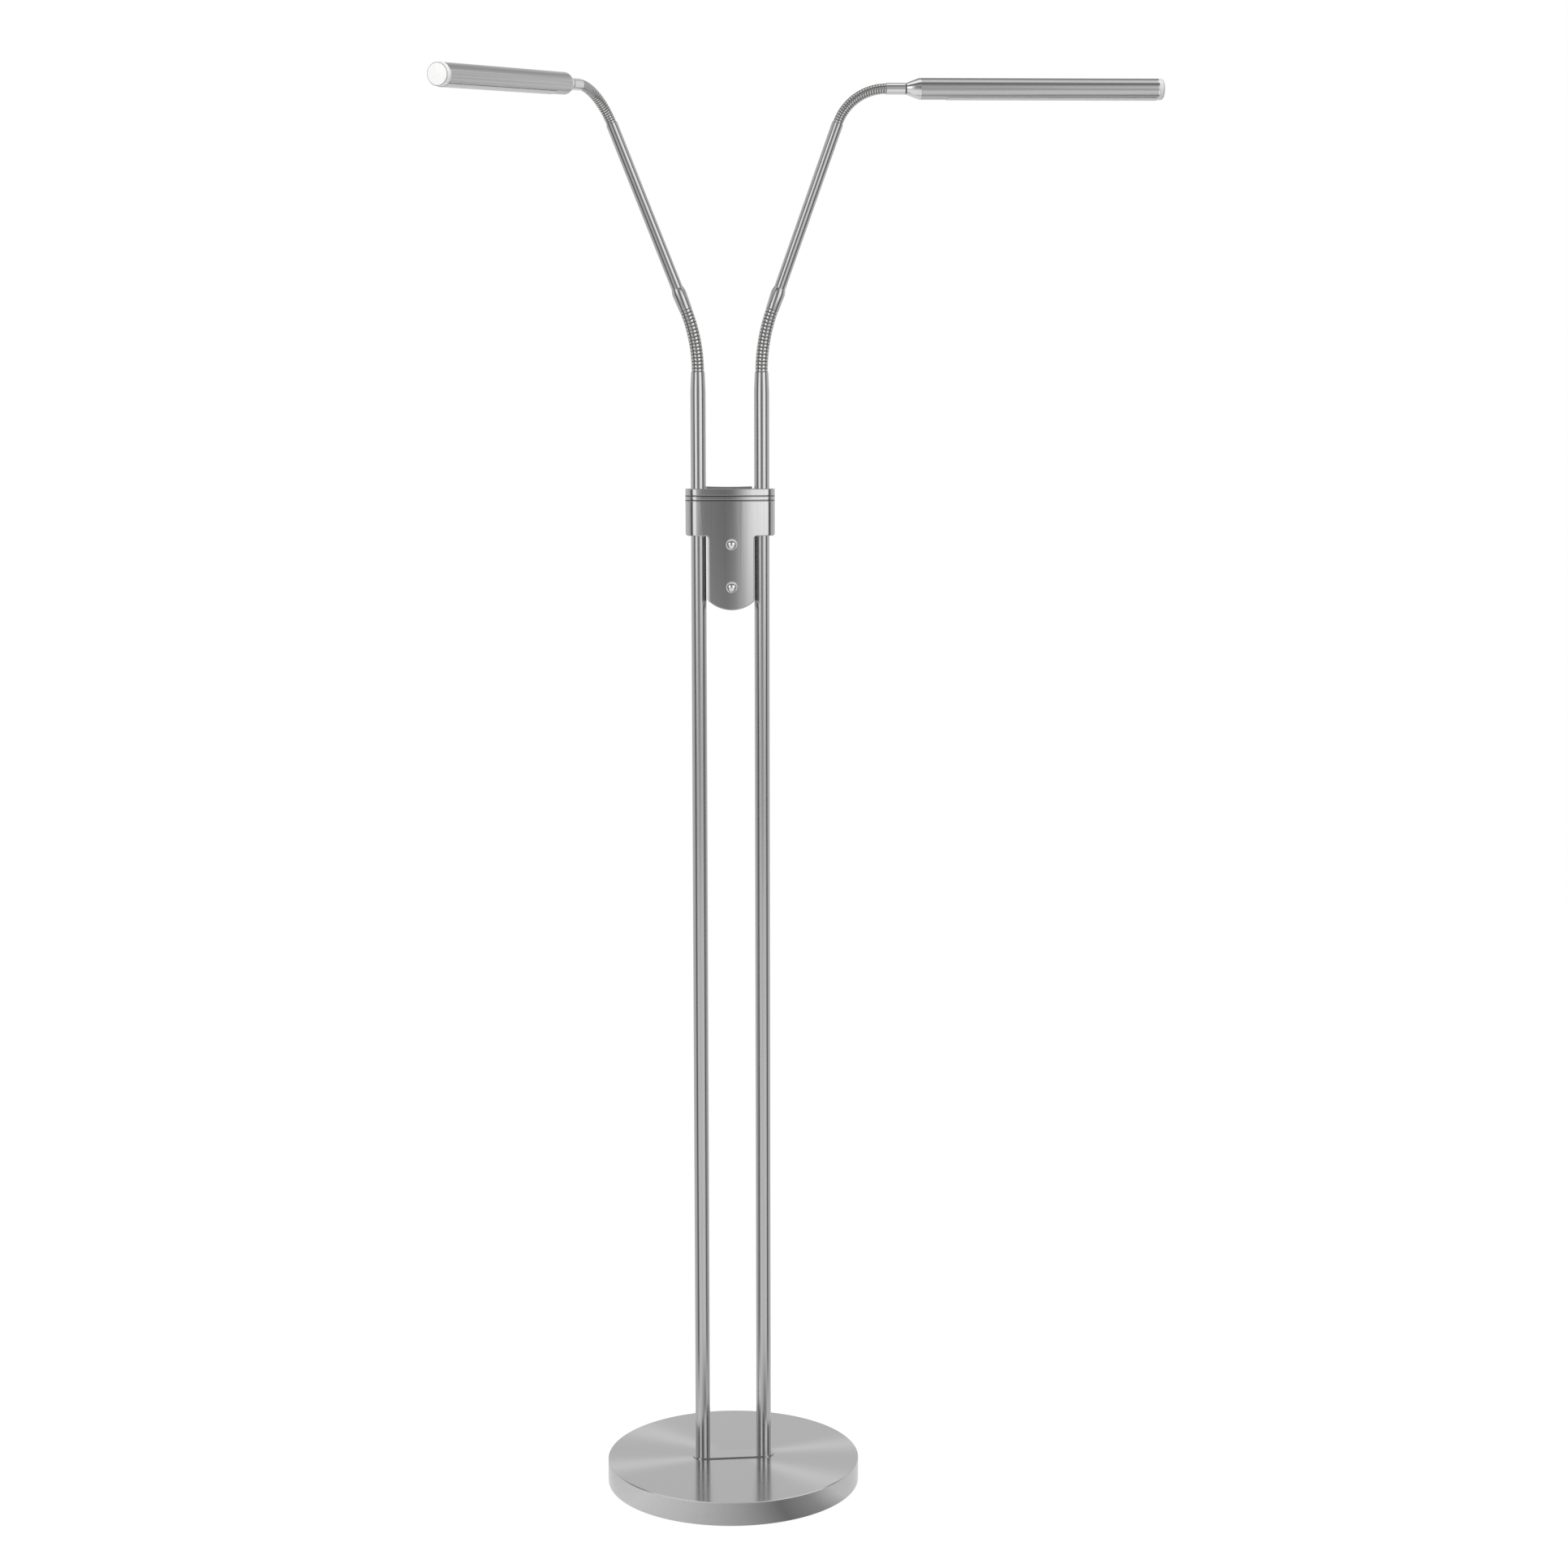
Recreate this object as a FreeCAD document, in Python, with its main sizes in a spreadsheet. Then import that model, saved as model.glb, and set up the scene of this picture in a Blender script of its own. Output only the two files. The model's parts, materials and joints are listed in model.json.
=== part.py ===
import FreeCAD, Part
import math
import os
import re
import Sketcher

# Floor lamp with two poles on one round weighted base. Each pole carries an arm between two
# flexing necks, and each arm ends in a slim tubular light head. A clamp between the poles holds
# the dimmer and its two push buttons. Sizes are in millimetres and angles in degrees.
# The origin is the middle of the base on the floor, +Z up, the poles stand along X, and -Y is
# the front.

SIZES = {
    # base
    "base_dia": 274.0,
    "base_height": 26.0,
    "base_wall": 1.5,
    "base_lift": 1.0,
    "base_bevel": 0.8,
    "ballast_room": 10.5,
    "ballast_height": 16.0,
    "plate_height": 1.2,
    "pad_margin": 15.0,
    "pad_height": 2.0,
    "boss_dia": 14.0,
    "boss_inset": 30.0,
    "base_screw_dia": 4.0,
    "base_screw_head": 8.0,
    "base_screw_head_height": 1.4,
    "base_screw_grip": 6.0,
    "base_screw_access": 11.0,
    "foot_plate_width": 22.0,
    "foot_plate_height": 1.2,
    "stud_dia": 10.0,
    "stud_bore": 7.0,
    "stud_room": 0.6,
    "nut_across": 17.0,
    "nut_height": 5.0,
    "driver_length": 62.0,
    "driver_width": 32.0,
    "driver_height": 15.0,
    "driver_corner": 1.5,
    "driver_room": 2.0,
    "driver_inset": 53.0,
    "grommet_bore": 6.5,
    "grommet_dia": 10.0,
    "grommet_flange": 13.0,
    "grommet_flange_height": 1.5,
    "grommet_level": 14.0,
    # poles
    "pole_spacing": 66.8,
    "pole_dia": 16.0,
    "pole_wall": 1.2,
    "pole_plug": 8.0,
    "pole_joint_level": 1056.0,
    "pole_top_level": 1202.0,
    "pole_top_dia": 14.3,
    "pole_taper": 20.0,
    "joiner_length": 44.0,
    "joiner_wall": 1.6,
    "slip_gap": 0.05,
    # clamp with the dimmer
    "clamp_bottom_level": 1031.7,
    "clamp_top_level": 1081.0,
    "clamp_margin": 5.75,
    "clamp_bulge": 4.0,
    "clamp_wall": 2.0,
    "clamp_corner": 3.0,
    "clamp_lip": 2.3,
    "clamp_lip_dip": 0.5,
    "groove_upper_level": 1073.3,
    "groove_lower_level": 1068.7,
    "groove_depth": 0.5,
    "groove_width": 1.2,
    "tongue_width": 47.7,
    "tongue_side_level": 963.4,
    "tongue_bottom_level": 954.0,
    "button_dia": 12.5,
    "button_upper_level": 1022.8,
    "button_lower_level": 978.2,
    "button_rise": 2.2,
    "button_dome": 2.6,
    "button_travel": 1.2,
    "button_gap": 0.12,
    "button_seat_gap": 0.35,
    "button_flange": 15.5,
    "button_flange_height": 1.2,
    "button_stem": 5.0,
    "board_height": 1.6,
    "board_margin": 1.0,
    "board_foot_gap": 2.0,
    "switch_side": 6.0,
    "switch_height": 4.0,
    "switch_gap": 0.2,
    "clamp_screw_dia": 3.0,
    "clamp_screw_head": 6.0,
    "clamp_screw_head_room": 0.2,
    "clamp_screw_head_height": 2.0,
    "clamp_screw_grip": 9.0,
    "clamp_boss_dia": 8.0,
    "clamp_screw_lower_level": 1000.5,
    "clamp_screw_upper_level": 1056.0,
    # flexing necks
    "lower_neck_dia": 13.0,
    "lower_neck_length": 65.5,
    "lower_neck_ribs": 18,
    "lower_ribs_before": 1,
    "lower_pivot_limit": 12.5,
    "lower_knuckle_dia": 8.0,
    "lower_neck_bore": 5.0,
    "upper_neck_dia": 10.3,
    "upper_neck_length": 65.8,
    "upper_neck_ribs": 24,
    "upper_ribs_before": 2,
    "upper_pivot_limit": 17.5,
    "upper_knuckle_dia": 6.0,
    "upper_neck_bore": 3.6,
    "rib_depth": 0.5,
    "rib_crest_share": 0.62,
    "knuckle_reach": 1.2,
    "knuckle_gap": 0.16,
    "neck_root": 1.5,
    "knuckle_root": 0.4,
    "neck_lead_room": 0.3,
    # arms
    "sleeve_length": 23.5,
    "sleeve_dia": 15.0,
    "sleeve_foot_dia": 13.6,
    "sleeve_shoulder": 5.0,
    "sleeve_grip": 13.0,
    "sleeve_lip": 0.4,
    "arm_dia": 12.0,
    "arm_wall": 1.0,
    "arm_length": 179.7,
    "arm_plug": 6.0,
    # heads
    "ferrule_length": 20.1,
    "ferrule_dia": 12.0,
    "ferrule_wall": 1.0,
    "ferrule_back": 5.0,
    "ferrule_collar": 3.0,
    "washer_height": 1.2,
    "washer_dia": 11.2,
    "swivel_dia": 7.0,
    "swivel_flange_dia": 9.2,
    "swivel_flange_height": 1.8,
    "swivel_bore": 4.4,
    "swivel_gap": 0.06,
    "cone_length": 15.2,
    "cone_rim": 2.0,
    "cone_spigot": 8.0,
    "cone_spigot_wall": 1.4,
    "head_dia": 22.0,
    "head_wall": 1.0,
    "head_length": 250.0,
    "head_plain_length": 27.0,
    "slot_depth": 2.5,
    "lens_rail_height": 2.45,
    "lens_rail_width": 1.0,
    "led_board_width": 11.0,
    "led_board_height": 1.6,
    "led_count": 22,
    "led_side": 3.0,
    "led_height": 0.8,
    "inner_setback": 3.2,
    "carrier_start": 11.0,
    "carrier_channel": 5.0,
    "carrier_channel_rise": 1.5,
    "cap_length": 7.4,
    "cap_spigot": 2.6,
    "cap_round": 1.0,
    # how the necks are bent and the heads turned at rest
    "left_lower_bend": 21.8,
    "left_upper_turn": 62.1,
    "left_upper_bend": 85.1,
    "left_head_roll": 0.0,
    "right_lower_bend": 19.75,
    "right_upper_turn": 0.0,
    "right_upper_bend": 69.65,
    "right_head_roll": 8.0,
}

LINKS = 5  # moving links in a flexing neck, so it turns at LINKS + 1 pivots
RIB_SIDES = 12  # flats round a rib
KNUCKLE_SIDES = 6  # flats round a knuckle, which keep a link from twisting on the next
SIDES = {"left": -1, "right": 1}

ALIAS = re.compile(r"\b(?:" + "|".join(SIZES) + r")\b")
Vector = FreeCAD.Vector
UP = Vector(0, 0, 1)

doc = FreeCAD.newDocument("floor_lamp")
dims = doc.addObject("Spreadsheet::Sheet", "dims")
for row, (alias, number) in enumerate(SIZES.items(), start=1):
    dims.set(f"A{row}", alias)
    dims.set(f"B{row}", str(number))
    dims.setAlias(f"B{row}", alias)
doc.recompute()

nodes = {}


# --- helpers -------------------------------------------------------------------------------
# A tool that cuts right through something reaches 1 mm past it at each end.

def formula(text):
    """The text with each size's name pointing at its cell of the sheet."""
    return ALIAS.sub(r"dims.\g<0>", text)


def size(text):
    """The value of a formula on the sheet, in millimetres or degrees."""
    return float(dims.evalExpression(formula(text)))


def bind(thing, **formulas):
    for prop, text in formulas.items():
        thing.setExpression(prop, formula(text))
    return thing


def keep(thing, node, placement=None):
    """Names a finished sub-part, which also names its file."""
    thing.Label = node
    if placement is not None:
        thing.Placement = placement
    nodes[node] = thing
    return thing


def origin_plane(body, role):
    return next(f for f in body.Origin.OriginFeatures if f.Role == role)


def outline(body, role, points):
    """A sketch of straight lines whose corners are tied to the sheet."""
    sketch = body.newObject("Sketcher::SketchObject", body.Name + "_outline")
    sketch.AttachmentSupport = [(origin_plane(body, role), "")]
    sketch.MapMode = "FlatFace"
    corners = [Vector(size(x), size(y), 0) for x, y in points]
    for index, corner in enumerate(corners):
        sketch.addGeometry(Part.LineSegment(corner, corners[(index + 1) % len(corners)]), False)
    for index, (x, y) in enumerate(points):
        after = (index + 1) % len(points)
        sketch.addConstraint(Sketcher.Constraint("Coincident", index, 2, after, 1))
        for text, kind, axis in ((x, "DistanceX", -2), (y, "DistanceY", -1)):
            if text == "0":
                sketch.addConstraint(Sketcher.Constraint("PointOnObject", index, 1, axis))
            else:
                rule = Sketcher.Constraint(kind, -1, 1, index, 1, size(text))
                number = sketch.addConstraint(rule)
                sketch.setExpression(f"Constraints[{number}]", formula(text))
    return sketch


def turned(name, points):
    """A turned piece: a profile of (radius, height) corners spun about Z."""
    body = doc.addObject("PartDesign::Body", name)
    sketch = outline(body, "XZ_Plane", points)
    spin = body.newObject("PartDesign::Revolution", name + "_spin")
    spin.Profile = (sketch, [""])
    spin.ReferenceAxis = (sketch, ["V_Axis"])
    spin.Angle = 360
    body.Tip = spin
    return body


def cylinder(name, radius, height, x="0", y="0", z="0"):
    thing = doc.addObject("Part::Cylinder", name)
    bind(thing, Radius=radius, Height=height)
    return placed(thing, x, y, z)


def box(name, length, width, height, x="0", y="0", z="0"):
    """A box whose x and y are its middle and z its underside."""
    thing = doc.addObject("Part::Box", name)
    bind(thing, Length=length, Width=width, Height=height)
    return placed(thing, f"({x}) - ({length}) / 2", f"({y}) - ({width}) / 2", z)


def placed(thing, x, y, z):
    places = {"Placement.Base.x": x, "Placement.Base.y": y, "Placement.Base.z": z}
    for prop, text in places.items():
        thing.setExpression(prop, formula(text))
    return thing


def fused(name, *things):
    fusion = doc.addObject("Part::MultiFuse", name)
    fusion.Shapes = list(things)
    return fusion


def cut(name, base, *tools):
    """The base with every tool taken out of it."""
    difference = doc.addObject("Part::Cut", name)
    difference.Base = base
    difference.Tool = tools[0] if len(tools) == 1 else fused(name + "_tools", *tools)
    return difference


def formed(name, shape):
    """A shape made by a function below, where no single feature gives it."""
    thing = doc.addObject("Part::Feature", name)
    thing.Shape = shape
    return thing


def frame(origin, x_axis, z_axis):
    return FreeCAD.Placement(origin, FreeCAD.Rotation(x_axis, z_axis.cross(x_axis), z_axis, "ZXY"))


def shifted(place, distance):
    """The frame moved along its own Z."""
    return place.multiply(FreeCAD.Placement(Vector(0, 0, distance), FreeCAD.Rotation()))


def turn(axis, degrees):
    return FreeCAD.Placement(Vector(), FreeCAD.Rotation(axis, degrees))


# --- base ----------------------------------------------------------------------------------

CEILING = "base_height - base_wall"
PLATE_TOP = "pad_height + plate_height"
BALLAST_RIM = "(base_dia / 2 - base_wall - ballast_room)"
BOSS_REACH = f"({BALLAST_RIM} - boss_inset)"
DRIVER_MIDDLE = f"{BALLAST_RIM} - driver_inset"
BALLAST_UNDER = f"{CEILING} - ballast_height"
POLE_FOOT = "base_height + foot_plate_height"
STUD_END = f"{BALLAST_UNDER} - nut_height"


def pole_holes(name, radius, low, high):
    """Two upright tools, one on each pole's axis."""
    return [
        cylinder(f"{name}_{side}", radius, f"({high}) - ({low})",
                 x=f"{sign} * pole_spacing / 2", z=low)
        for side, sign in SIDES.items()
    ]


def boss_places():
    """Where the three screw bosses stand, the first at the front."""
    radius = size(BOSS_REACH)
    return [
        Vector(radius * math.sin(angle), -radius * math.cos(angle), 0)
        for angle in (0, 2 * math.pi / 3, 4 * math.pi / 3)
    ]


def boss_tools(name, radius, low, high):
    """One upright cylinder at each boss."""
    tools = []
    for number, angle in enumerate((0, 120, 240)):
        tools.append(cylinder(
            f"{name}_{number}", radius, f"({high}) - ({low})",
            x=f"{BOSS_REACH} * sin({angle} deg)", y=f"-{BOSS_REACH} * cos({angle} deg)", z=low,
        ))
    return tools


def make_base():
    outer, inner = "base_dia / 2", "base_dia / 2 - base_wall"
    shell = turned("shell_blank", [
        ("0", CEILING), (inner, CEILING), (inner, "base_lift"), (outer, "base_lift"),
        (outer, "base_height - base_bevel"), (f"{outer} - base_bevel", "base_height"),
        ("0", "base_height"),
    ])
    stud_holes = pole_holes("shell_stud", "stud_dia / 2 + stud_room / 2",
                            f"{CEILING} - 1", "base_height + 1")
    lead_hole = cylinder("lead_hole", "grommet_dia / 2 + slip_gap", "base_wall * 4",
                         y=f"{outer} + base_wall", z="grommet_level")
    lead_hole.Placement.Rotation = FreeCAD.Rotation(Vector(1, 0, 0), 90)
    keep(cut("shell", shell, *stud_holes, lead_hole), "base_shell")

    disc = cylinder("ballast_disc", BALLAST_RIM, "ballast_height", z=BALLAST_UNDER)
    bosses = boss_tools("boss", "boss_dia / 2", PLATE_TOP, f"{BALLAST_UNDER} + 1")
    room = "2 * driver_room"
    pocket = box("driver_pocket", f"driver_length + {room}", f"driver_width + {room}",
                 "driver_height + driver_room", y=DRIVER_MIDDLE, z=PLATE_TOP)
    bores = pole_holes("ballast_stud", "stud_dia / 2 + stud_room / 2",
                       f"{BALLAST_UNDER} - 1", f"{CEILING} + 1")
    screw_holes = boss_tools("boss_hole", "base_screw_dia / 2 + slip_gap", PLATE_TOP,
                             f"{PLATE_TOP} + base_screw_grip + slip_gap")
    casting = fused("ballast_casting", disc, *bosses)
    keep(cut("ballast", casting, pocket, *bores, *screw_holes), "ballast_weight")

    plate = cylinder("plate_disc", f"{inner} - slip_gap", "plate_height", z="pad_height")
    plate_holes = boss_tools("plate_hole", "base_screw_dia / 2 + slip_gap",
                             "pad_height - 1", f"{PLATE_TOP} + 1")
    keep(cut("plate", plate, *plate_holes), "bottom_plate")

    pad = cylinder("pad_disc", "base_dia / 2 - pad_margin", "pad_height")
    access = boss_tools("pad_access", "base_screw_access / 2", "-1", "pad_height + 1")
    keep(cut("pad", pad, *access), "floor_pad")

    screw = turned("base_screw", [
        ("0", "pad_height - base_screw_head_height"),
        ("base_screw_head / 2", "pad_height - base_screw_head_height"),
        ("base_screw_head / 2", "pad_height"),
        ("base_screw_dia / 2", "pad_height"),
        ("base_screw_dia / 2", f"{PLATE_TOP} + base_screw_grip"),
        ("0", f"{PLATE_TOP} + base_screw_grip"),
    ])
    keep(copies("base_screws", screw, boss_places()), "bottom_screws")

    middle = box("foot_middle", "pole_spacing", "foot_plate_width", "foot_plate_height",
                 z="base_height")
    ends = pole_holes("foot_end", "foot_plate_width / 2", "base_height", POLE_FOOT)
    foot_holes = pole_holes("foot_stud", "stud_dia / 2 + stud_room / 2",
                            "base_height - 1", f"{POLE_FOOT} + 1")
    keep(cut("foot", fused("foot_blank", middle, *ends), *foot_holes), "foot_plate")

    nut = doc.addObject("Part::Prism", "nut_blank")
    nut.Polygon = 6
    bind(nut, Circumradius="nut_across / 2 / cos(30 deg)", Height="nut_height")
    placed(nut, "0", "0", STUD_END)
    nut_bore = cylinder("nut_bore", "stud_dia / 2 + slip_gap", "nut_height + 2",
                        z=f"{STUD_END} - 1")
    half = size("pole_spacing / 2")
    keep(copies("nuts", cut("nut", nut, nut_bore), [Vector(-half, 0, 0), Vector(half, 0, 0)]),
         "pole_nuts")

    block = box("driver_block", "driver_length", "driver_width", "driver_height",
                y=DRIVER_MIDDLE, z=PLATE_TOP)
    edges = doc.addObject("Part::Fillet", "driver")
    edges.Base = block
    corner = size("driver_corner")
    edges.Edges = [(number, corner, corner) for number in (1, 3, 5, 7)]
    keep(edges, "led_driver")

    flange, wall = "grommet_flange / 2", "base_wall"
    inside = f"-{wall} - 4 * slip_gap"
    bush = turned("grommet", [
        ("grommet_bore / 2", f"{inside} - 2 * grommet_flange_height"),
        (flange, f"{inside} - 2 * grommet_flange_height"), (flange, inside),
        ("grommet_dia / 2", inside), ("grommet_dia / 2", "slip_gap"), (flange, "slip_gap"),
        (flange, "grommet_flange_height"), ("grommet_bore / 2", "grommet_flange_height"),
    ])
    back = Vector(0, size("base_dia / 2"), size("grommet_level"))
    keep(bush, "cable_grommet", frame(back, Vector(1, 0, 0), Vector(0, 1, 0)))


def copies(name, piece, places):
    """Like pieces that share one node, each a solid of its own."""
    doc.recompute()
    solids = []
    for place in places:
        solid = piece.Shape.Solids[0].copy()
        solid.translate(place)
        solids.append(solid)
    return formed(name, Part.makeCompound(solids))


# --- poles ---------------------------------------------------------------------------------

def make_poles():
    outer, inner = "pole_dia / 2", "pole_dia / 2 - pole_wall"
    for side, sign in SIDES.items():
        lower = turned(f"lower_pole_{side}", [
            ("stud_bore / 2", STUD_END), ("stud_dia / 2", STUD_END),
            ("stud_dia / 2", POLE_FOOT), (outer, POLE_FOOT),
            (outer, "pole_joint_level"), (inner, "pole_joint_level"),
            (inner, f"{POLE_FOOT} + pole_plug"), ("stud_bore / 2", f"{POLE_FOOT} + pole_plug"),
        ])
        placed(lower, f"{sign} * pole_spacing / 2", "0", "0")
        keep(lower, f"pole_{side}")
    radius = f"{inner} - slip_gap"
    joiner = turned("joiner", [
        (f"{radius} - joiner_wall", "pole_joint_level - joiner_length / 2"),
        (radius, "pole_joint_level - joiner_length / 2"),
        (radius, "pole_joint_level + joiner_length / 2"),
        (f"{radius} - joiner_wall", "pole_joint_level + joiner_length / 2"),
    ])
    half = size("pole_spacing / 2")
    keep(copies("joiners", joiner, [Vector(-half, 0, 0), Vector(half, 0, 0)]), "pole_joiners")


def make_upper_pole(side, neck):
    """The pole above the clamp, with the first ribs of the lower neck on its tapered top."""
    outer, inner, top = "pole_dia / 2", "pole_dia / 2 - pole_wall", "pole_top_level"
    bore = "lower_neck_bore / 2 + neck_lead_room"
    tube = turned(f"upper_tube_{side}", [
        (inner, "pole_joint_level"), (outer, "pole_joint_level"),
        (outer, f"{top} - pole_taper"), ("pole_top_dia / 2", top),
        (bore, top), (bore, f"{top} - pole_taper"), (inner, f"{top} - pole_taper"),
    ])
    placed(tube, f"{SIDES[side]} * pole_spacing / 2", "0", "0")
    stub = formed(f"upper_pole_ribs_{side}", neck.first_ribs())
    stub.Placement = neck.place
    keep(fused(f"upper_{side}", tube, stub), f"upper_pole_{side}")


# --- clamp and dimmer ----------------------------------------------------------------------

def clamp_block(inset, front):
    """The clamp's outer form drawn in by an inset, as the front or the back half.

    Seen from above, rounded ends concentric with the poles are joined by a bulged front or a
    flat back. Seen from the front, a tongue hangs between the poles.
    """
    half = size("pole_spacing / 2")
    end = size("pole_dia / 2 + clamp_margin") - inset
    top, bottom = size("clamp_top_level") - inset, size("clamp_bottom_level") + inset
    low = size("tongue_bottom_level")
    sign = -1 if front else 1
    if front:
        bulge = size("clamp_bulge")
        centre_y = (half ** 2 - bulge ** 2) / (2 * bulge)
        reach = math.hypot(half, centre_y)
        touch = Vector(half + half / reach * end, -centre_y / reach * end, 0)
        face = Part.Arc(touch, Vector(0, -end - bulge, 0), Vector(-touch.x, touch.y, 0))
    else:
        touch = Vector(half, end, 0)
        face = Part.LineSegment(touch, Vector(-half, end, 0))
    corner = math.atan2(abs(touch.y), touch.x - half) / 2
    bend = Vector(half + end * math.cos(corner), sign * end * math.sin(corner), 0)
    right = Part.Arc(Vector(half + end, 0, 0), bend, touch)
    mirrored = Part.Arc(Vector(-touch.x, touch.y, 0), Vector(-bend.x, bend.y, 0),
                        Vector(-half - end, 0, 0))
    seam = Part.LineSegment(Vector(-half - end, 0, 0), Vector(half + end, 0, 0))
    plan = Part.Wire([e.toShape() for e in (right, face, mirrored, seam)])
    prism = Part.Face(plan).extrude(Vector(0, 0, top - low + 1))
    prism.translate(Vector(0, 0, low - 1))
    return prism.common(clamp_front_view(inset, half + end, top, bottom))


def clamp_front_view(inset, side, top, bottom):
    """A prism along Y with the clamp's outline as seen from the front."""
    radius = size("clamp_corner")
    outer, inner = max(radius - inset, 0.2), radius + inset
    tongue = size("tongue_width / 2") - inset
    step = size("tongue_side_level")
    low = size("tongue_bottom_level") + inset
    lean = math.cos(math.pi / 4)

    def at(x, z):
        return Vector(x, 0, z)

    right = [
        Part.LineSegment(at(side, top), at(side, bottom + outer)),
        Part.Arc(at(side, bottom + outer),
                 at(side - outer + outer * lean, bottom + outer - outer * lean),
                 at(side - outer, bottom)),
        Part.LineSegment(at(side - outer, bottom), at(tongue + inner, bottom)),
        Part.Arc(at(tongue + inner, bottom),
                 at(tongue + inner - inner * lean, bottom - inner + inner * lean),
                 at(tongue, bottom - inner)),
        Part.LineSegment(at(tongue, bottom - inner), at(tongue, step)),
    ]
    left = [e.toShape().mirror(Vector(), Vector(1, 0, 0)) for e in right]
    closing = [Part.LineSegment(at(-side, top), at(side, top)).toShape(),
               Part.Arc(at(-tongue, step), at(0, low), at(tongue, step)).toShape()]
    wire = Part.Wire(Part.__sortEdges__([e.toShape() for e in right] + left + closing))
    reach = size("pole_dia + clamp_margin + clamp_bulge")
    prism = Part.Face(wire).extrude(Vector(0, 2 * reach, 0))
    prism.translate(Vector(0, -reach, 0))
    return prism


def clamp_depth(front):
    """How far the inner face of the front or back wall lies from the middle plane."""
    depth = size("pole_dia / 2 + clamp_margin - clamp_wall")
    return depth + size("clamp_bulge") if front else depth


def upright_tools(radius, bottom, top):
    """Solid cylinders on both poles' axes."""
    half = size("pole_spacing / 2")
    return [Part.makeCylinder(radius, top - bottom, Vector(x, 0, bottom)) for x in (-half, half)]


def post(radius, near, far, level):
    """A cylinder along Y at the middle of the clamp, between two depths."""
    return Part.makeCylinder(radius, far - near, Vector(0, near, level), Vector(0, 1, 0))


def make_clamp():
    wall, seam = size("clamp_wall"), size("board_height")
    bottom, top = size("clamp_bottom_level"), size("clamp_top_level")
    poles = upright_tools(size("pole_dia / 2 + slip_gap"), bottom - 1, top + 5)
    boss = size("clamp_boss_dia / 2")
    shank = size("clamp_screw_dia / 2 + slip_gap")
    lower, upper = size("clamp_screw_lower_level"), size("clamp_screw_upper_level")
    grip, slack = size("clamp_screw_grip"), size("2 * slip_gap")

    front = clamp_block(0, True).cut(clamp_block(wall, True))
    face = -clamp_depth(True)
    for level, seat in ((lower, -seam), (upper, 0)):
        front = front.fuse(post(boss, face - wall / 4, seat, level))
        front = front.cut(post(shank, seat - grip - slack, seat + 1, level))
    for level in (size("groove_upper_level"), size("groove_lower_level")):
        front = front.cut(clamp_groove(level))
    hole = size("button_dia / 2 + button_gap")
    for level in (size("button_upper_level"), size("button_lower_level")):
        front = front.cut(post(hole, face - wall - 2, face + 2, level))
    keep(formed("front_half", front.cut(poles)), "clamp_front")

    back = clamp_block(0, False).fuse(clamp_lip()).cut(clamp_block(wall, False))
    face = clamp_depth(False)
    head = size("clamp_screw_head / 2 + clamp_screw_head_room")
    head_height = size("clamp_screw_head_height")
    for level in (lower, upper):
        back = back.fuse(post(boss, 0, face + wall / 4, level))
        back = back.cut(post(shank, -1, face + wall + 1, level))
        back = back.cut(post(head, face + wall - head_height, face + wall + 1, level))
    keep(formed("back_half", back.cut(poles)), "clamp_back")

    screws = []
    for level, seat in ((lower, -seam), (upper, 0)):
        start = face + wall - head_height
        shaft = post(size("clamp_screw_dia / 2"), seat - grip, start, level)
        cap = post(size("clamp_screw_head / 2"), start, start + head_height, level)
        screws.append(shaft.fuse(cap).removeSplitter())
    keep(formed("fixings", Part.makeCompound(screws)), "clamp_screws")


def clamp_groove(level):
    """A shallow groove that runs round the front half at a level."""
    depth, width = size("groove_depth"), size("groove_width")
    reach = size("pole_spacing / 2 + pole_dia + clamp_margin")
    slab = Part.makeBox(2 * reach, reach, width, Vector(-reach, -reach, level - width / 2))
    return clamp_block(0, True).common(slab).cut(clamp_block(depth, True))


def clamp_lip():
    """The back half stands a little higher between the poles, with a slight dip."""
    reach = size("(pole_spacing - pole_dia) / 2") - 1
    top, lip, dip = size("clamp_top_level"), size("clamp_lip"), size("clamp_lip_dip")
    deep = size("pole_dia / 2 + clamp_margin")
    edges = [
        Part.LineSegment(Vector(-reach, 0, top - 1), Vector(reach, 0, top - 1)),
        Part.LineSegment(Vector(reach, 0, top - 1), Vector(reach, 0, top + lip)),
        Part.Arc(Vector(reach, 0, top + lip), Vector(0, 0, top + lip - dip),
                 Vector(-reach, 0, top + lip)),
        Part.LineSegment(Vector(-reach, 0, top + lip), Vector(-reach, 0, top - 1)),
    ]
    face = Part.Face(Part.Wire([e.toShape() for e in edges]))
    lip_solid = face.extrude(Vector(0, size("clamp_wall"), 0))
    lip_solid.translate(Vector(0, deep - size("clamp_wall"), 0))
    return lip_solid


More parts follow.
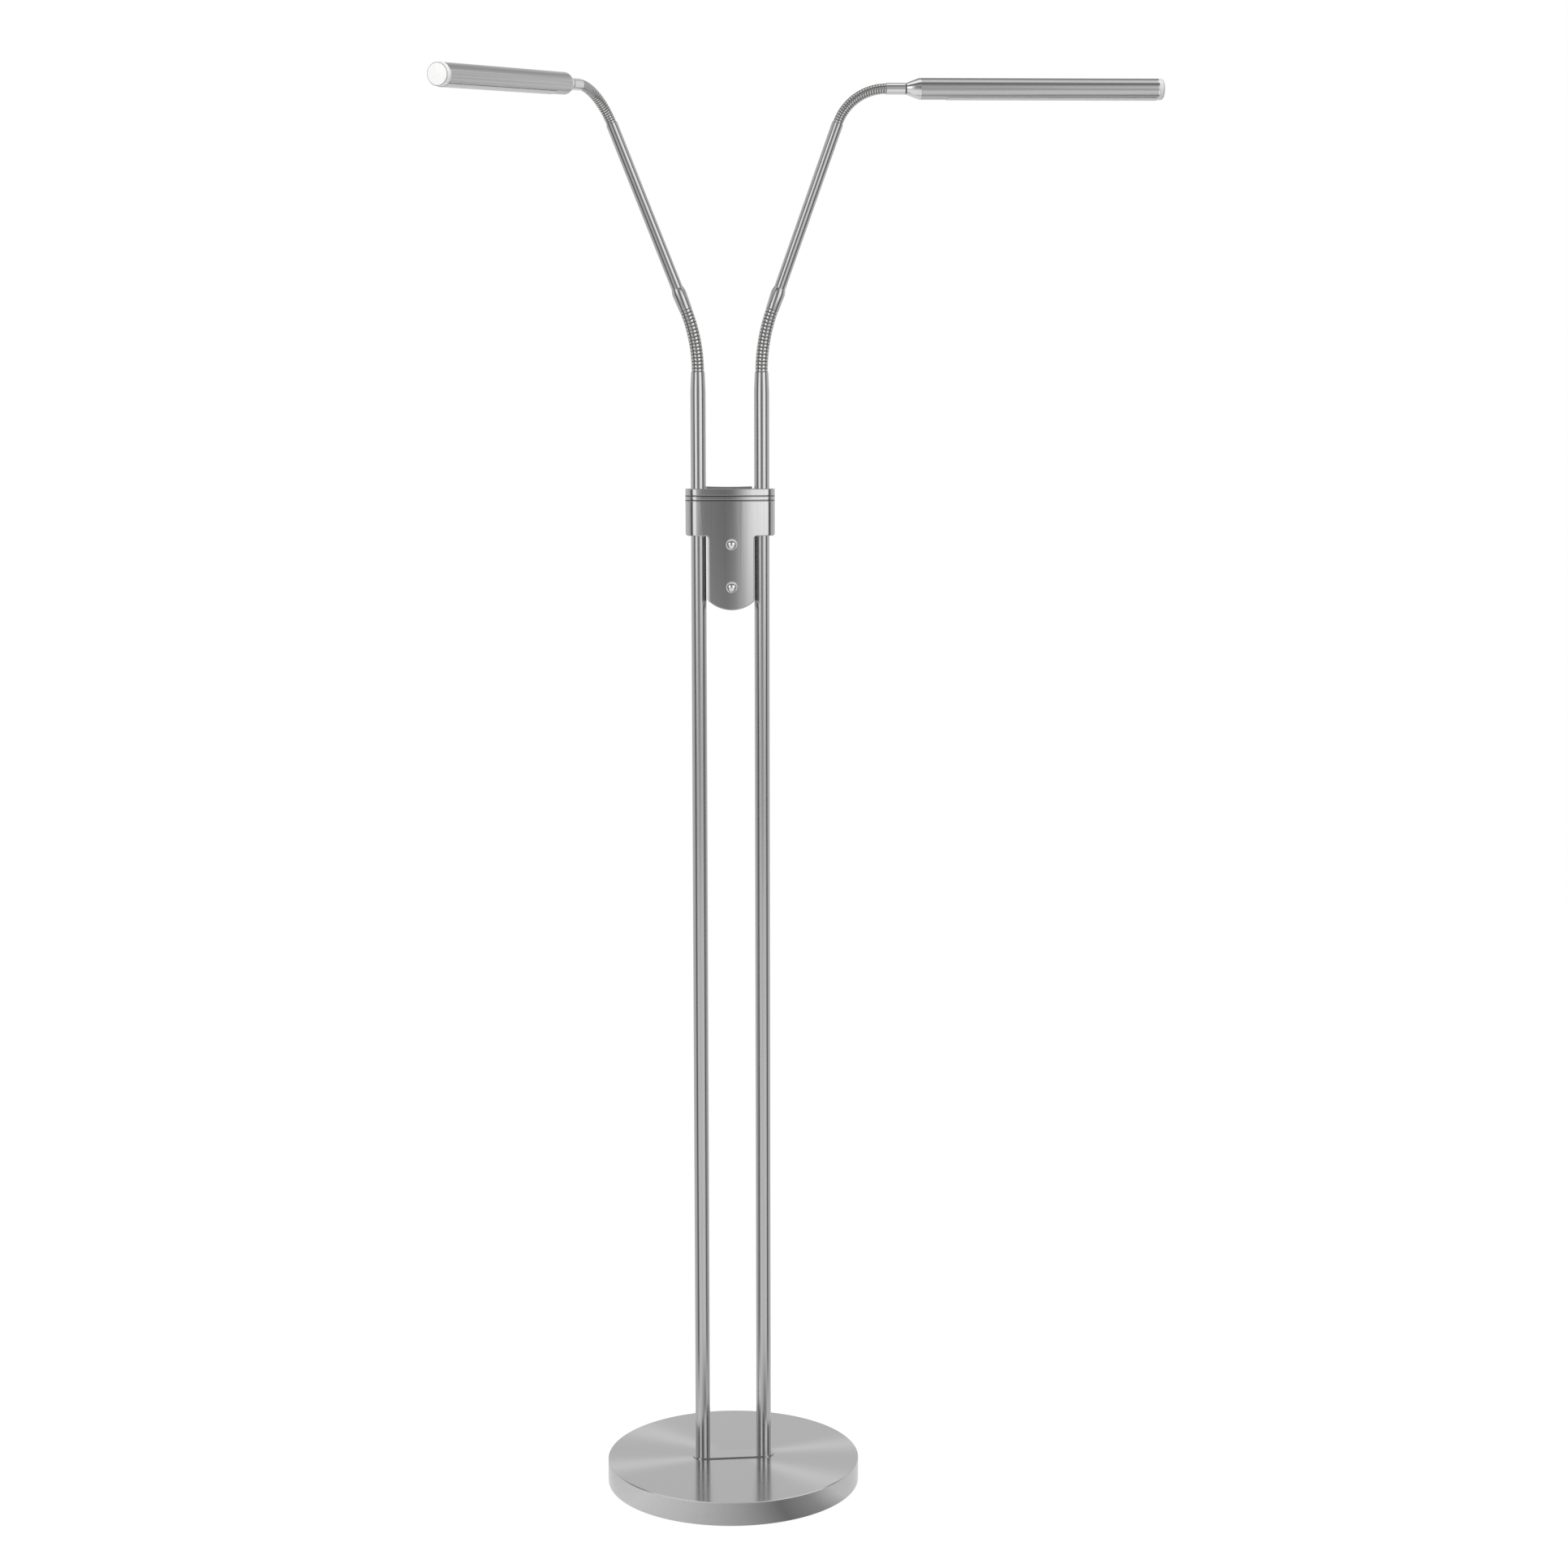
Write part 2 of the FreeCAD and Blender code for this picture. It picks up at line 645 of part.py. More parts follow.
def make_dimmer():
    margin = size("clamp_wall + board_margin")
    wide = size("tongue_width") - 2 * margin
    low, high = size("tongue_side_level + board_foot_gap"), size("clamp_bottom_level")
    thick = size("board_height")
    board = Part.makeBox(wide, thick, high - low, Vector(-wide / 2, -thick, low))
    level = size("clamp_screw_lower_level")
    board = board.cut(post(size("clamp_screw_dia / 2 + slip_gap"), -thick - 1, 1, level))
    side, tall = size("switch_side"), size("switch_height")
    for button in ("button_upper_level", "button_lower_level"):
        corner = Vector(-side / 2, -thick - tall, size(button) - side / 2)
        board = board.fuse(Part.makeBox(side, tall, side, corner))
    keep(formed("board", board.removeSplitter()), "dimmer_board")

    face = -clamp_depth(True)
    wall = size("clamp_wall")
    radius, rise, dome = size("button_dia / 2"), size("button_rise"), size("button_dome")
    flange, flange_height = size("button_flange / 2"), size("button_flange_height")
    behind = face + size("button_seat_gap")
    stem_end = -thick - tall - size("button_travel + switch_gap")
    sphere = (radius ** 2 + dome ** 2) / (2 * dome)
    for name in ("button_upper", "button_lower"):
        level = size(name + "_level")
        outside = face - wall - (rise - dome)
        cap = post(radius, outside - dome, behind, level)
        ball = Part.makeSphere(sphere, Vector(0, outside - dome + sphere, level))
        cap = cap.common(ball)
        base = post(flange, behind, behind + flange_height, level)
        stem = post(size("button_stem / 2"), behind, stem_end, level)
        keep(formed(name + "_cap", cap.fuse([base, stem]).removeSplitter()), name)


# --- flexing necks -------------------------------------------------------------------------

class Neck:
    """A ribbed neck bent along one arc, as a chain of short links.

    In its own frame the neck starts at the origin along Z and bends towards X. Each link turns
    on the next at a pivot on the arc. A six-sided knuckle on the end of each piece reaches
    through the pivot into a socket in the next, and the ribs beside a pivot leave a V.
    """

    def __init__(self, kind, place, bend):
        self.place = place
        self.bend = math.radians(bend)
        self.length = size(f"{kind}_neck_length")
        self.ribs = round(size(f"{kind}_neck_ribs"))
        self.before = round(size(f"{kind}_ribs_before"))
        self.per_link = (self.ribs - 3) // LINKS
        self.pitch = self.length / self.ribs
        self.radius = size(f"{kind}_neck_dia / 2")
        self.limit = math.radians(size(f"{kind}_pivot_limit"))
        self.knuckle = size(f"{kind}_knuckle_dia / 2")
        self.bore = size(f"{kind}_neck_bore / 2")
        self.gap = size("knuckle_gap")
        self.reach = size("knuckle_reach")
        self.crest = self.pitch * size("rib_crest_share") / 2

    def pivot(self, number):
        """How far along the arc a pivot lies."""
        return self.pitch * (self.before + self.per_link * number)

    def at(self, along):
        """The frame at a distance along the arc, its Z along the neck."""
        if along <= 0:
            return FreeCAD.Placement(Vector(0, 0, along), FreeCAD.Rotation())
        angle = self.bend * along / self.length
        bow = self.length / self.bend
        point = Vector(bow * (1 - math.cos(angle)), 0, bow * math.sin(angle))
        return FreeCAD.Placement(point, FreeCAD.Rotation(Vector(0, 1, 0), math.degrees(angle)))

    def half_gap(self, radius):
        """Half the V between two pieces at a radius, wide enough for the pivot's whole range."""
        return radius * math.tan(self.limit / 2) + self.gap

    def ring(self, along, radius):
        return ring(self.at(along), radius, RIB_SIDES)

    def rib_rings(self, start, count, first_open, last_open):
        """The rings of a run of ribs. An open end faces a pivot."""
        rings = []
        for number in range(count):
            low, middle = start + number * self.pitch, start + (number + 0.5) * self.pitch
            near, far = middle - self.crest, middle + self.crest
            if number == 0 and first_open:
                near = max(near, low + self.half_gap(self.radius))
            if number == count - 1 and last_open:
                far = min(far, low + self.pitch - self.half_gap(self.radius))
            if number > 0:
                rings.append(self.ring(low, self.radius - size("rib_depth")))
            rings += [self.ring(near, self.radius), self.ring(far, self.radius)]
        return rings

    def socket_radius(self):
        return self.knuckle + self.gap / math.cos(math.pi / KNUCKLE_SIDES)

    def knuckle_tip(self):
        """The knuckle's radius at its tip, where it still clears the socket at full turn."""
        flat = math.cos(math.pi / KNUCKLE_SIDES)
        room = self.socket_radius() * flat - self.gap / 2 - self.reach * math.sin(self.limit)
        return room / math.cos(self.limit) / flat

    def add_knuckle(self, body, along):
        """A knuckle that stands on the end face before a pivot."""
        root = along - self.half_gap(self.knuckle) - size("knuckle_root")
        place = self.at(along)
        straight = place.inverse().multiply(self.at(root)).Base.z
        rings = [
            ring(shifted(place, straight), self.knuckle, KNUCKLE_SIDES),
            ring(place, self.knuckle, KNUCKLE_SIDES),
            ring(shifted(place, self.reach), self.knuckle_tip(), KNUCKLE_SIDES),
        ]
        return body.fuse(facets(rings))

    def cut_socket(self, body, along):
        """The socket that a knuckle enters, in the piece after a pivot."""
        place = self.at(along)
        tip = self.reach * math.cos(self.limit) + self.knuckle_tip() * math.sin(self.limit)
        rings = [ring(shifted(place, height), self.socket_radius(), KNUCKLE_SIDES)
                 for height in (0, tip + self.gap)]
        return body.cut(facets(rings))

    def cut_bore(self, body, start, end):
        """A straight bore from one place on the arc to another."""
        low, high = self.at(start), self.at(end).Base
        over = self.reach + size("neck_root") + 1
        axis = (high - low.Base).normalize()
        across = Vector(0, 1, 0).cross(axis)
        near = frame(low.Base - axis * over, across, axis)
        far = frame(high + axis * over, across, axis)
        return body.cut(facets([ring(near, self.bore, KNUCKLE_SIDES),
                                ring(far, self.bore, KNUCKLE_SIDES)]))

    def link(self):
        """The first moving link, from the first pivot to the second."""
        start, end = self.pivot(0), self.pivot(1)
        root = self.half_gap(self.knuckle)
        rings = [self.ring(start + root, self.knuckle)]
        rings += self.rib_rings(start, self.per_link, True, True)
        rings.append(self.ring(end - root, self.knuckle))
        body = self.cut_socket(self.add_knuckle(facets(rings), end), start)
        return self.cut_bore(body, start, end)

    def link_place(self, number):
        """Where the numbered link lies: the first one carried round the arc."""
        step = self.at(self.pivot(number)).multiply(self.at(self.pivot(0)).inverse())
        return self.place.multiply(step)

    def first_ribs(self):
        """The ribs before the first pivot, rooted in the piece that carries the neck."""
        end, low = self.pivot(0), self.radius - size("rib_depth")
        rings = [self.ring(-size("neck_root"), low), self.ring(0, low)]
        rings += self.rib_rings(0, self.before, False, True)
        rings.append(self.ring(end - self.half_gap(self.knuckle), self.knuckle))
        return self.cut_bore(self.add_knuckle(facets(rings), end), 0, end)

    def last_ribs(self):
        """The ribs after the last pivot, rooted in the piece that the neck carries."""
        start, low = self.pivot(LINKS), self.radius - size("rib_depth")
        count = self.ribs - self.before - self.per_link * LINKS
        rings = [self.ring(start + self.half_gap(self.knuckle), self.knuckle)]
        rings += self.rib_rings(start, count, True, False)
        after = shifted(self.at(self.length), size("neck_root"))
        rings += [self.ring(self.length, low), ring(after, low, RIB_SIDES)]
        return self.cut_bore(self.cut_socket(facets(rings), start), start, self.length)

    def end_place(self):
        return self.place.multiply(self.at(self.length))

    def pivots(self):
        """Each pivot's place and its two axes: bending further, and sideways."""
        found = []
        for number in range(LINKS + 1):
            place = self.place.multiply(self.at(self.pivot(number)))
            bend_axis = place.Rotation.multVec(Vector(0, 1, 0))
            side_axis = place.Rotation.multVec(Vector(1, 0, 0))
            found.append((place.Base, bend_axis, side_axis))
        return found


def ring(place, radius, sides):
    """The corners of a regular polygon in a frame's XY plane, with a flat square to X."""
    angles = [2 * math.pi * (number + 0.5) / sides for number in range(sides)]
    return [place.multVec(Vector(radius * math.cos(a), radius * math.sin(a), 0)) for a in angles]


def flat_face(*corners):
    return Part.Face(Part.makePolygon(list(corners) + [corners[0]]))


def facets(rings):
    """A solid of flat facets through a row of rings of equal count."""
    faces = [flat_face(*rings[0]), flat_face(*rings[-1])]
    for near, far in zip(rings, rings[1:]):
        for number, corner in enumerate(near):
            after = (number + 1) % len(near)
            a, b, c, d = corner, near[after], far[after], far[number]
            level = (b - a).cross(d - a).normalize()
            if abs(level.dot(c - a)) < 1e-6:
                faces.append(flat_face(a, b, c, d))
            else:
                faces += [flat_face(a, b, c), flat_face(a, c, d)]
    solid = Part.Solid(Part.Shell(faces))
    if solid.Volume < 0:
        solid.reverse()
    return solid


def make_links(side, kind, neck):
    """The moving links of one neck, numbered from the pole outwards."""
    shape = neck.link()
    for number in range(LINKS):
        thing = formed(f"{kind}_link_{side}_{number}", shape.copy())
        keep(thing, f"{kind}_neck_link_{number + 1}_{side}", neck.link_place(number))


# --- arms ----------------------------------------------------------------------------------

def make_arm(side, lower, upper, foot):
    """The sleeve on the lower neck and the arm tube that it grips."""
    length, grip = "sleeve_length", "sleeve_length - sleeve_grip"
    bore, tube = "lower_neck_bore / 2 + neck_lead_room", "arm_dia / 2 + slip_gap"
    sleeve = turned(f"sleeve_{side}", [
        (bore, "0"), ("sleeve_foot_dia / 2", "0"),
        ("sleeve_dia / 2", f"{length} - sleeve_shoulder"), (f"{tube} + sleeve_lip", length),
        (tube, length), (tube, grip), (bore, grip),
    ])
    sleeve.Placement = foot
    ribs = formed(f"sleeve_ribs_{side}", lower.last_ribs())
    ribs.Placement = lower.place
    keep(fused(f"sleeve_whole_{side}", sleeve, ribs), f"neck_sleeve_{side}")

    outer, inner, end = "arm_dia / 2", "arm_dia / 2 - arm_wall", "sleeve_length + arm_length"
    bore = "upper_neck_bore / 2 + neck_lead_room"
    arm = turned(f"arm_{side}", [
        (inner, grip), (outer, grip), (outer, end), (bore, end), (bore, f"{end} - arm_plug"),
        (inner, f"{end} - arm_plug"),
    ])
    arm.Placement = foot
    ribs = formed(f"arm_ribs_{side}", upper.first_ribs())
    ribs.Placement = upper.place
    keep(fused(f"arm_whole_{side}", arm, ribs), f"arm_tube_{side}")


# --- light heads ---------------------------------------------------------------------------

CONE = "ferrule_length + washer_height"
TUBE = f"{CONE} + cone_length"
TIP = f"{TUBE} + head_length"
BORE = "head_dia / 2 - head_wall"
CHORD = "head_dia / 2 - slot_depth"
LED_FACE = f"{CHORD} - lens_rail_height"


def make_head(side, upper, place):
    """The parts of one light head. Their frame starts at the neck's end along the head's
    axis, and its -Y is the side that the light leaves."""
    outer, inner = "ferrule_dia / 2", "ferrule_dia / 2 - ferrule_wall"
    collar, front = "ferrule_length - ferrule_collar", "ferrule_length"
    bore, pin = "upper_neck_bore / 2 + neck_lead_room", "swivel_dia / 2 + swivel_gap"
    ferrule = turned(f"ferrule_{side}", [
        (bore, "0"), (outer, "0"), (outer, front), (pin, front),
        (pin, collar), (inner, collar), (inner, "ferrule_back"), (bore, "ferrule_back"),
    ])
    ferrule.Placement = place
    ribs = formed(f"ferrule_ribs_{side}", upper.last_ribs())
    ribs.Placement = upper.place
    keep(fused(f"ferrule_whole_{side}", ferrule, ribs), f"head_ferrule_{side}")

    keep(turned(f"washer_{side}", [
        (pin, f"{front} + slip_gap"), ("washer_dia / 2", f"{front} + slip_gap"),
        ("washer_dia / 2", f"{CONE} - slip_gap"), (pin, f"{CONE} - slip_gap"),
    ]), f"swivel_washer_{side}", place)

    stem, bore = "swivel_dia / 2", "swivel_bore / 2"
    catch = f"{collar} - 2 * swivel_gap"
    spigot = f"{BORE} - slip_gap"
    keep(turned(f"cone_{side}", [
        (bore, f"{catch} - swivel_flange_height"),
        ("swivel_flange_dia / 2", f"{catch} - swivel_flange_height"),
        ("swivel_flange_dia / 2", catch), (stem, catch), (stem, CONE), (outer, CONE),
        ("head_dia / 2", f"{TUBE} - cone_rim"), ("head_dia / 2", TUBE), (spigot, TUBE),
        (spigot, f"{TUBE} + cone_spigot"), (f"{spigot} - cone_spigot_wall", f"{TUBE} + cone_spigot"),
        (f"{spigot} - cone_spigot_wall", f"{TUBE} - cone_rim"), (bore, f"{TUBE} - cone_rim"),
    ]), f"swivel_cone_{side}", place)

    tube = turned(f"head_blank_{side}", [
        (BORE, TUBE), ("head_dia / 2", TUBE), ("head_dia / 2", TIP), (BORE, TIP),
    ])
    slot = box(f"head_slot_{side}", "head_dia", "head_dia", "head_length",
               y=f"-({CHORD}) - head_dia / 2", z=f"{TUBE} + head_plain_length")
    keep(cut(f"head_{side}", tube, slot), f"head_tube_{side}", place)

    start, stop = f"{TUBE} + head_plain_length + slip_gap", f"{TIP} - inner_setback"
    strip = cylinder(f"lens_round_{side}", "head_dia / 2", f"{TIP} - ({start})", z=start)
    keeper = box(f"lens_keeper_{side}", "head_dia", "head_dia", "head_length",
                 y=f"-({CHORD}) - slip_gap - head_dia / 2", z=start)
    segment = doc.addObject("Part::Common", f"lens_strip_{side}")
    segment.Base, segment.Tool = strip, keeper
    rails = []
    for number, sign in enumerate((-1, 1)):
        rails.append(box(
            f"lens_rail_{side}_{number}", "lens_rail_width", "lens_rail_height + slot_depth / 2",
            f"{stop} - ({start})", z=start,
            x=f"{sign} * (sqrt(({BORE}) ^ 2 - ({CHORD}) ^ 2) - 2 * slip_gap"
              " - lens_rail_width / 2)",
            y=f"-({LED_FACE}) - slip_gap - lens_rail_height / 2 - slot_depth / 4",
        ))
    keep(fused(f"lens_{side}", segment, *rails), f"diffuser_{side}", place)

    strip = box(f"led_strip_{side}", "led_board_width", "led_board_height",
                f"{stop} - ({start})", y=f"-({LED_FACE}) + led_board_height / 2", z=start)
    lamps = [
        box(f"led_{side}_{number}", "led_side", "led_height", "led_side",
            y=f"-({LED_FACE}) - led_height / 2",
            z=f"{start} + (({stop}) - ({start})) * {number + 0.5} / led_count - led_side / 2")
        for number in range(round(size("led_count")))
    ]
    keep(fused(f"leds_{side}", strip, *lamps), f"led_board_{side}", place)

    rod = cylinder(f"carrier_round_{side}", f"{BORE} - slip_gap",
                   f"{stop} - ({TUBE}) - carrier_start", z=f"{TUBE} + carrier_start")
    under = box(f"carrier_under_{side}", "head_dia", "head_dia", "head_length * 2",
                y=f"-({LED_FACE}) + led_board_height - head_dia / 2", z=TUBE)
    channel = cylinder(f"carrier_channel_{side}", "carrier_channel / 2", "head_length * 2",
                       y="carrier_channel_rise", z=TUBE)
    keep(cut(f"carrier_{side}", rod, under, channel), f"led_carrier_{side}", place)

    disc = turned(f"cap_disc_{side}", [
        ("0", TIP), ("head_dia / 2", TIP), ("head_dia / 2", f"{TIP} + cap_length - cap_round"),
        ("head_dia / 2 - cap_round", f"{TIP} + cap_length"), ("0", f"{TIP} + cap_length"),
    ])
    plug = cylinder(f"cap_plug_{side}", f"{BORE} - slip_gap", "cap_spigot + 1",
                    z=f"{TIP} - cap_spigot")
    flat = box(f"cap_flat_{side}", "head_dia", "head_dia", "cap_spigot",
               y=f"-({CHORD}) + slip_gap - head_dia / 2", z=f"{TIP} - cap_spigot")
    spigot = cut(f"cap_spigot_{side}", plug, flat)
    keep(fused(f"cap_{side}", disc, spigot), f"end_cap_{side}", place)


def head_place(end, roll):
    """The head's frame: Z along its axis and Y as near upright as it goes, then rolled."""
    axis = end.Rotation.multVec(UP)
    across = UP.cross(axis).normalize()
    return frame(end.Base, across, axis).multiply(turn(UP, roll))


# --- the whole lamp ------------------------------------------------------------------------

def make_side(side):
    sign = SIDES[side]
    foot = frame(Vector(sign * size("pole_spacing / 2"), 0, size("pole_top_level")),
                 Vector(sign, 0, 0), UP)
    lower = Neck("lower", foot, size(f"{side}_lower_bend"))
    arm = lower.end_place()
    top = shifted(arm, size("sleeve_length + arm_length"))
    top = top.multiply(turn(UP, size(f"{side}_upper_turn")))
    upper = Neck("upper", top, size(f"{side}_upper_bend"))
    head = head_place(upper.end_place(), size(f"{side}_head_roll"))
    make_upper_pole(side, lower)
    make_links(side, "lower", lower)
    make_arm(side, lower, upper, arm)
    make_links(side, "upper", upper)
    make_head(side, upper, head)
    return lower, upper, head


def check_and_write():
    doc.recompute()
    for thing in doc.Objects:
        if "Invalid" in thing.State or "Error" in thing.State:
            raise RuntimeError(f"{thing.Label} did not build: {thing.State}")
    os.makedirs("parts", exist_ok=True)
    for node, thing in nodes.items():
        shape = thing.Shape
        if shape.isNull() or not shape.isValid() or not shape.Solids:
            raise RuntimeError(f"{node} is not a sound solid")
        shape.exportStep(f"parts/{node}.step")
    print(len(nodes), "sub-parts")


make_base()
make_poles()
make_clamp()
make_dimmer()
necks = {side: make_side(side) for side in SIDES}
check_and_write()
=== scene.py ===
"""A floor lamp with two reading heads: its finishes, ribbed necks, tubes and the studio round it."""

import json
from math import acos, cos, pi, radians, sin, sqrt, tau

import bmesh
import bpy
from bpy.props import FloatProperty, FloatVectorProperty, IntProperty, PointerProperty
from bpy.types import Operator, Panel, PropertyGroup
from mathutils import Matrix, Vector

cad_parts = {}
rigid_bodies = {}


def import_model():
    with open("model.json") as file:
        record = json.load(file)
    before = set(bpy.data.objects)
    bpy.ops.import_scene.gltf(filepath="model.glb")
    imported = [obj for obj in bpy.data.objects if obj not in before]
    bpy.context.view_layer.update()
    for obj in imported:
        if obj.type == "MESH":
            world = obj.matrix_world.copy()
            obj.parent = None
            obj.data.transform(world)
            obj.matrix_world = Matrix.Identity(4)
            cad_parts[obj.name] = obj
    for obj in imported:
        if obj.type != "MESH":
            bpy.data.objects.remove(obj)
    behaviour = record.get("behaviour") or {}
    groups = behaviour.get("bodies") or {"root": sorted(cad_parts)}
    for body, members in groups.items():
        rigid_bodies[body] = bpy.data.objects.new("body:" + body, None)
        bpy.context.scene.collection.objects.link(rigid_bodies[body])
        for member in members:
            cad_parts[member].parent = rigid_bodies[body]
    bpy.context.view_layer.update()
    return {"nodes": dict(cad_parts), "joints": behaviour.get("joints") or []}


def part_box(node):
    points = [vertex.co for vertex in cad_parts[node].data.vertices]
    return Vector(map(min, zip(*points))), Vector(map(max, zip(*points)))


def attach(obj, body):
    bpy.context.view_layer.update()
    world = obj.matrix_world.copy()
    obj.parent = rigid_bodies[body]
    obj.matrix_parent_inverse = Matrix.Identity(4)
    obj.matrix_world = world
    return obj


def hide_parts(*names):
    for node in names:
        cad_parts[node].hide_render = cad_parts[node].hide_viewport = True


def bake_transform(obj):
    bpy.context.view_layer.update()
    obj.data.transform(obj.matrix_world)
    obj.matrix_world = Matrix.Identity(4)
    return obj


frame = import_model()

bl_info = {
    "name": "Floor Lamp with Reading Heads",
    "version": (1, 0, 0),
    "blender": (4, 5, 0),
    "location": "3D View > Sidebar > Lamp",
    "description": "Dresses a floor lamp with two swinging reading heads",
    "category": "Object",
}

SIDES = ("left", "right")
UP = Vector((0, 0, 1))
JOINTS = {joint["name"]: joint for joint in frame["joints"]}
NECK_HINGES = ("bend", "side", "bend_2", "bend_3", "side_4", "bend_5")
# Ribs of each kind of neck: all of them, those before the first hinge, those from hinge to hinge
NECK_RIBS = {"lower": (18, 1, 3), "upper": (24, 2, 4)}
# Hinges whose two ends are taken child first: the other order tears in the poses at the limits
CHILD_FIRST = ("left_lower_bend_2", "left_lower_bend_5", "right_lower_bend_3")

# Shares of a head's or an arm's own radius
RING_HOLE = 0.9
CAP_SHARE = 0.985
COLLAR_SHARE = 0.97
SLEEVE_TOP = 1.05
# How far a cap's collar reaches in behind the head's end, in lengths of the slot's curve
COLLAR_REACH = 1.3
# Where the deeper ring on a cap's face fades in and out, as shares of the head's radius
CAP_RING_IN = (0.89, 0.93)
CAP_RING_OUT = (0.955, 0.985)
SHARP_FROM = radians(30)  # edges that turn by more than this are shaded as sharp
# Steps of the round outlines
FLARE_STEPS = 8
STRIP_STEPS = 24
REAR_PART = 8  # the patch of tube behind the slot has this many times fewer steps round
CAP_STEPS = 6
BUTTON_STEPS = 10
DOME_STEPS = 8


# --- what a user would change ----------------------------------------------------------------

def length(name, description, default):
    """A size in metres."""
    return FloatProperty(name=name, description=description, default=default, min=0.0,
                         precision=5, unit="LENGTH")


def tone(name, description, default):
    """A colour without its alpha."""
    return FloatVectorProperty(name=name, description=description, default=default, size=3,
                               min=0.0, max=1.0, subtype="COLOR")


class LampSizes(PropertyGroup):
    """Sizes of the pieces that the frame doesn't give."""

    groove_depth: length("Groove Depth", "Depth of the grooves between the ribs", 0.0005)
    groove_sharpness: FloatProperty(
        name="Groove Sharpness", description="How narrow the grooves are beside the ribs",
        default=5.0, min=1.0)
    rib_steps: IntProperty(
        name="Rib Steps", description="Rings of vertices along each rib", default=12, min=4)
    neck_sides: IntProperty(
        name="Neck Sides", description="Vertices round a neck", default=48, min=8)
    turned_sides: IntProperty(
        name="Turned Sides", description="Vertices round a turned piece", default=96, min=8)
    edge_round: length("Edge Round", "Radius on the rims of the turned pieces", 0.0003)
    taper_length: length("Taper Length", "Length of the taper on each pole's top", 0.020)
    pole_top_radius: length("Pole Top Radius", "Radius of each pole at its very top", 0.00715)
    sleeve_foot_radius: length("Sleeve Foot Radius", "Radius of a sleeve at its neck", 0.0068)
    sleeve_shoulder: length("Sleeve Shoulder", "Length of a sleeve's shoulder", 0.005)
    head_wall: length("Head Wall", "Wall of the head tubes", 0.001)
    slot_depth: length("Slot Depth", "How deep a head's slot cuts into its round", 0.0025)
    button_ring: length("Button Ring", "Width of the bright ring round each button", 0.0014)
    clamp_edge: length("Clamp Edge", "Radius on the clamp's outer edges", 0.0008)
    strip_rise: length("Strip Rise", "How far a light strip stands out of its tube", 0.0005)
    strip_lap: length("Strip Lap", "How far a light strip covers its slot's edges", 0.0003)
    flare_length: length("Flare Length", "Length of the curve at a slot's open end", 0.0048)
    flare_angle: FloatProperty(
        name="Flare Angle", description="Half the slot's opening at its very end",
        default=radians(72), subtype="ANGLE")
    cone_rim: length("Cone Rim", "Length of the straight rim of a swivel cone", 0.002)
    cap_round: length("Cap Round", "Radius on the rim of the clear end cap", 0.0030)
    frosted_round: length("Frosted Round", "Radius on the rim of the frosted end cap", 0.0010)
    ring_length: length("Ring Length", "Length of the bright ring at each head's end", 0.0012)
    ring_rise: length("Ring Rise", "How far that ring stands out of the head", 0.00012)


class LampTones(PropertyGroup):
    """Colours of the finishes."""

    satin: tone("Satin", "Satin nickel of the base, poles, clamp and arms", (0.54, 0.54, 0.54))
    head: tone("Head", "Brushed metal of the head tubes", (0.56, 0.56, 0.56))
    nickel: tone("Nickel", "Polished nickel of the necks", (0.62, 0.615, 0.61))
    chrome: tone("Chrome", "Chrome of the buttons, cones and rings", (0.78, 0.78, 0.785))
    milky: tone("Milky", "Milky plastic of the frosted cap", (0.86, 0.86, 0.855))
    strip: tone("Strip", "Milky plastic of the light strips", (0.62, 0.62, 0.615))
    clear: tone("Clear", "Greyish clear plastic of the other cap", (0.62, 0.625, 0.63))
    rubber: tone("Rubber", "Black rubber and plastic", (0.018, 0.018, 0.019))
    iron: tone("Iron", "Cast iron of the ballast", (0.11, 0.105, 0.10))
    steel: tone("Steel", "Plain steel of screws, nuts and joiners", (0.52, 0.52, 0.51))
    foam: tone("Foam", "Dark foam of the floor pad", (0.035, 0.035, 0.037))
    board: tone("Board", "Green lacquer of the dimmer's board", (0.02, 0.12, 0.05))


class StudioSettings(PropertyGroup):
    """The camera's place and the studio's light."""

    lens: FloatProperty(name="Lens", description="Focal length on a 36 mm sensor",
                        default=61.048, min=1.0)
    position: FloatVectorProperty(
        name="Position", description="Where the camera stands", size=3, unit="LENGTH",
        default=(-0.23335, -2.80208, 1.11091))
    yaw: FloatProperty(name="Yaw", description="Turn of the camera to the right of +Y",
                       default=radians(5.908), subtype="ANGLE")
    pitch: FloatProperty(name="Pitch", description="Tilt of the camera below level",
                         default=radians(6.951), subtype="ANGLE")
    roll: FloatProperty(name="Roll", description="Roll of the camera",
                        default=radians(-0.055), subtype="ANGLE")
    floor_radius: length("Floor Radius", "Radius of the pale floor", 4.5)
    fill: FloatProperty(name="Fill", description="Power of the large soft lamp in watts",
                        default=45.0, min=0.0)


def sizes():
    return bpy.context.scene.lamp_sizes


def tones():
    return bpy.context.scene.lamp_tones


# --- node trees ------------------------------------------------------------------------------

class Wire:
    """An output socket of a node tree. Sums, products and powers of wires add Math nodes."""

    def __init__(self, web, socket):
        self.web = web
        self.socket = socket

    def math(self, operation, *others):
        return self.web.math(operation, self, *others)

    def __add__(self, other):
        return self.math("ADD", other)

    def __sub__(self, other):
        return self.math("SUBTRACT", other)

    def __rsub__(self, other):
        return self.web.math("SUBTRACT", other, self)

    def __mul__(self, other):
        return self.math("MULTIPLY", other)

    def __truediv__(self, other):
        return self.math("DIVIDE", other)

    def __pow__(self, other):
        return self.math("POWER", other)

    __radd__ = __add__
    __rmul__ = __mul__


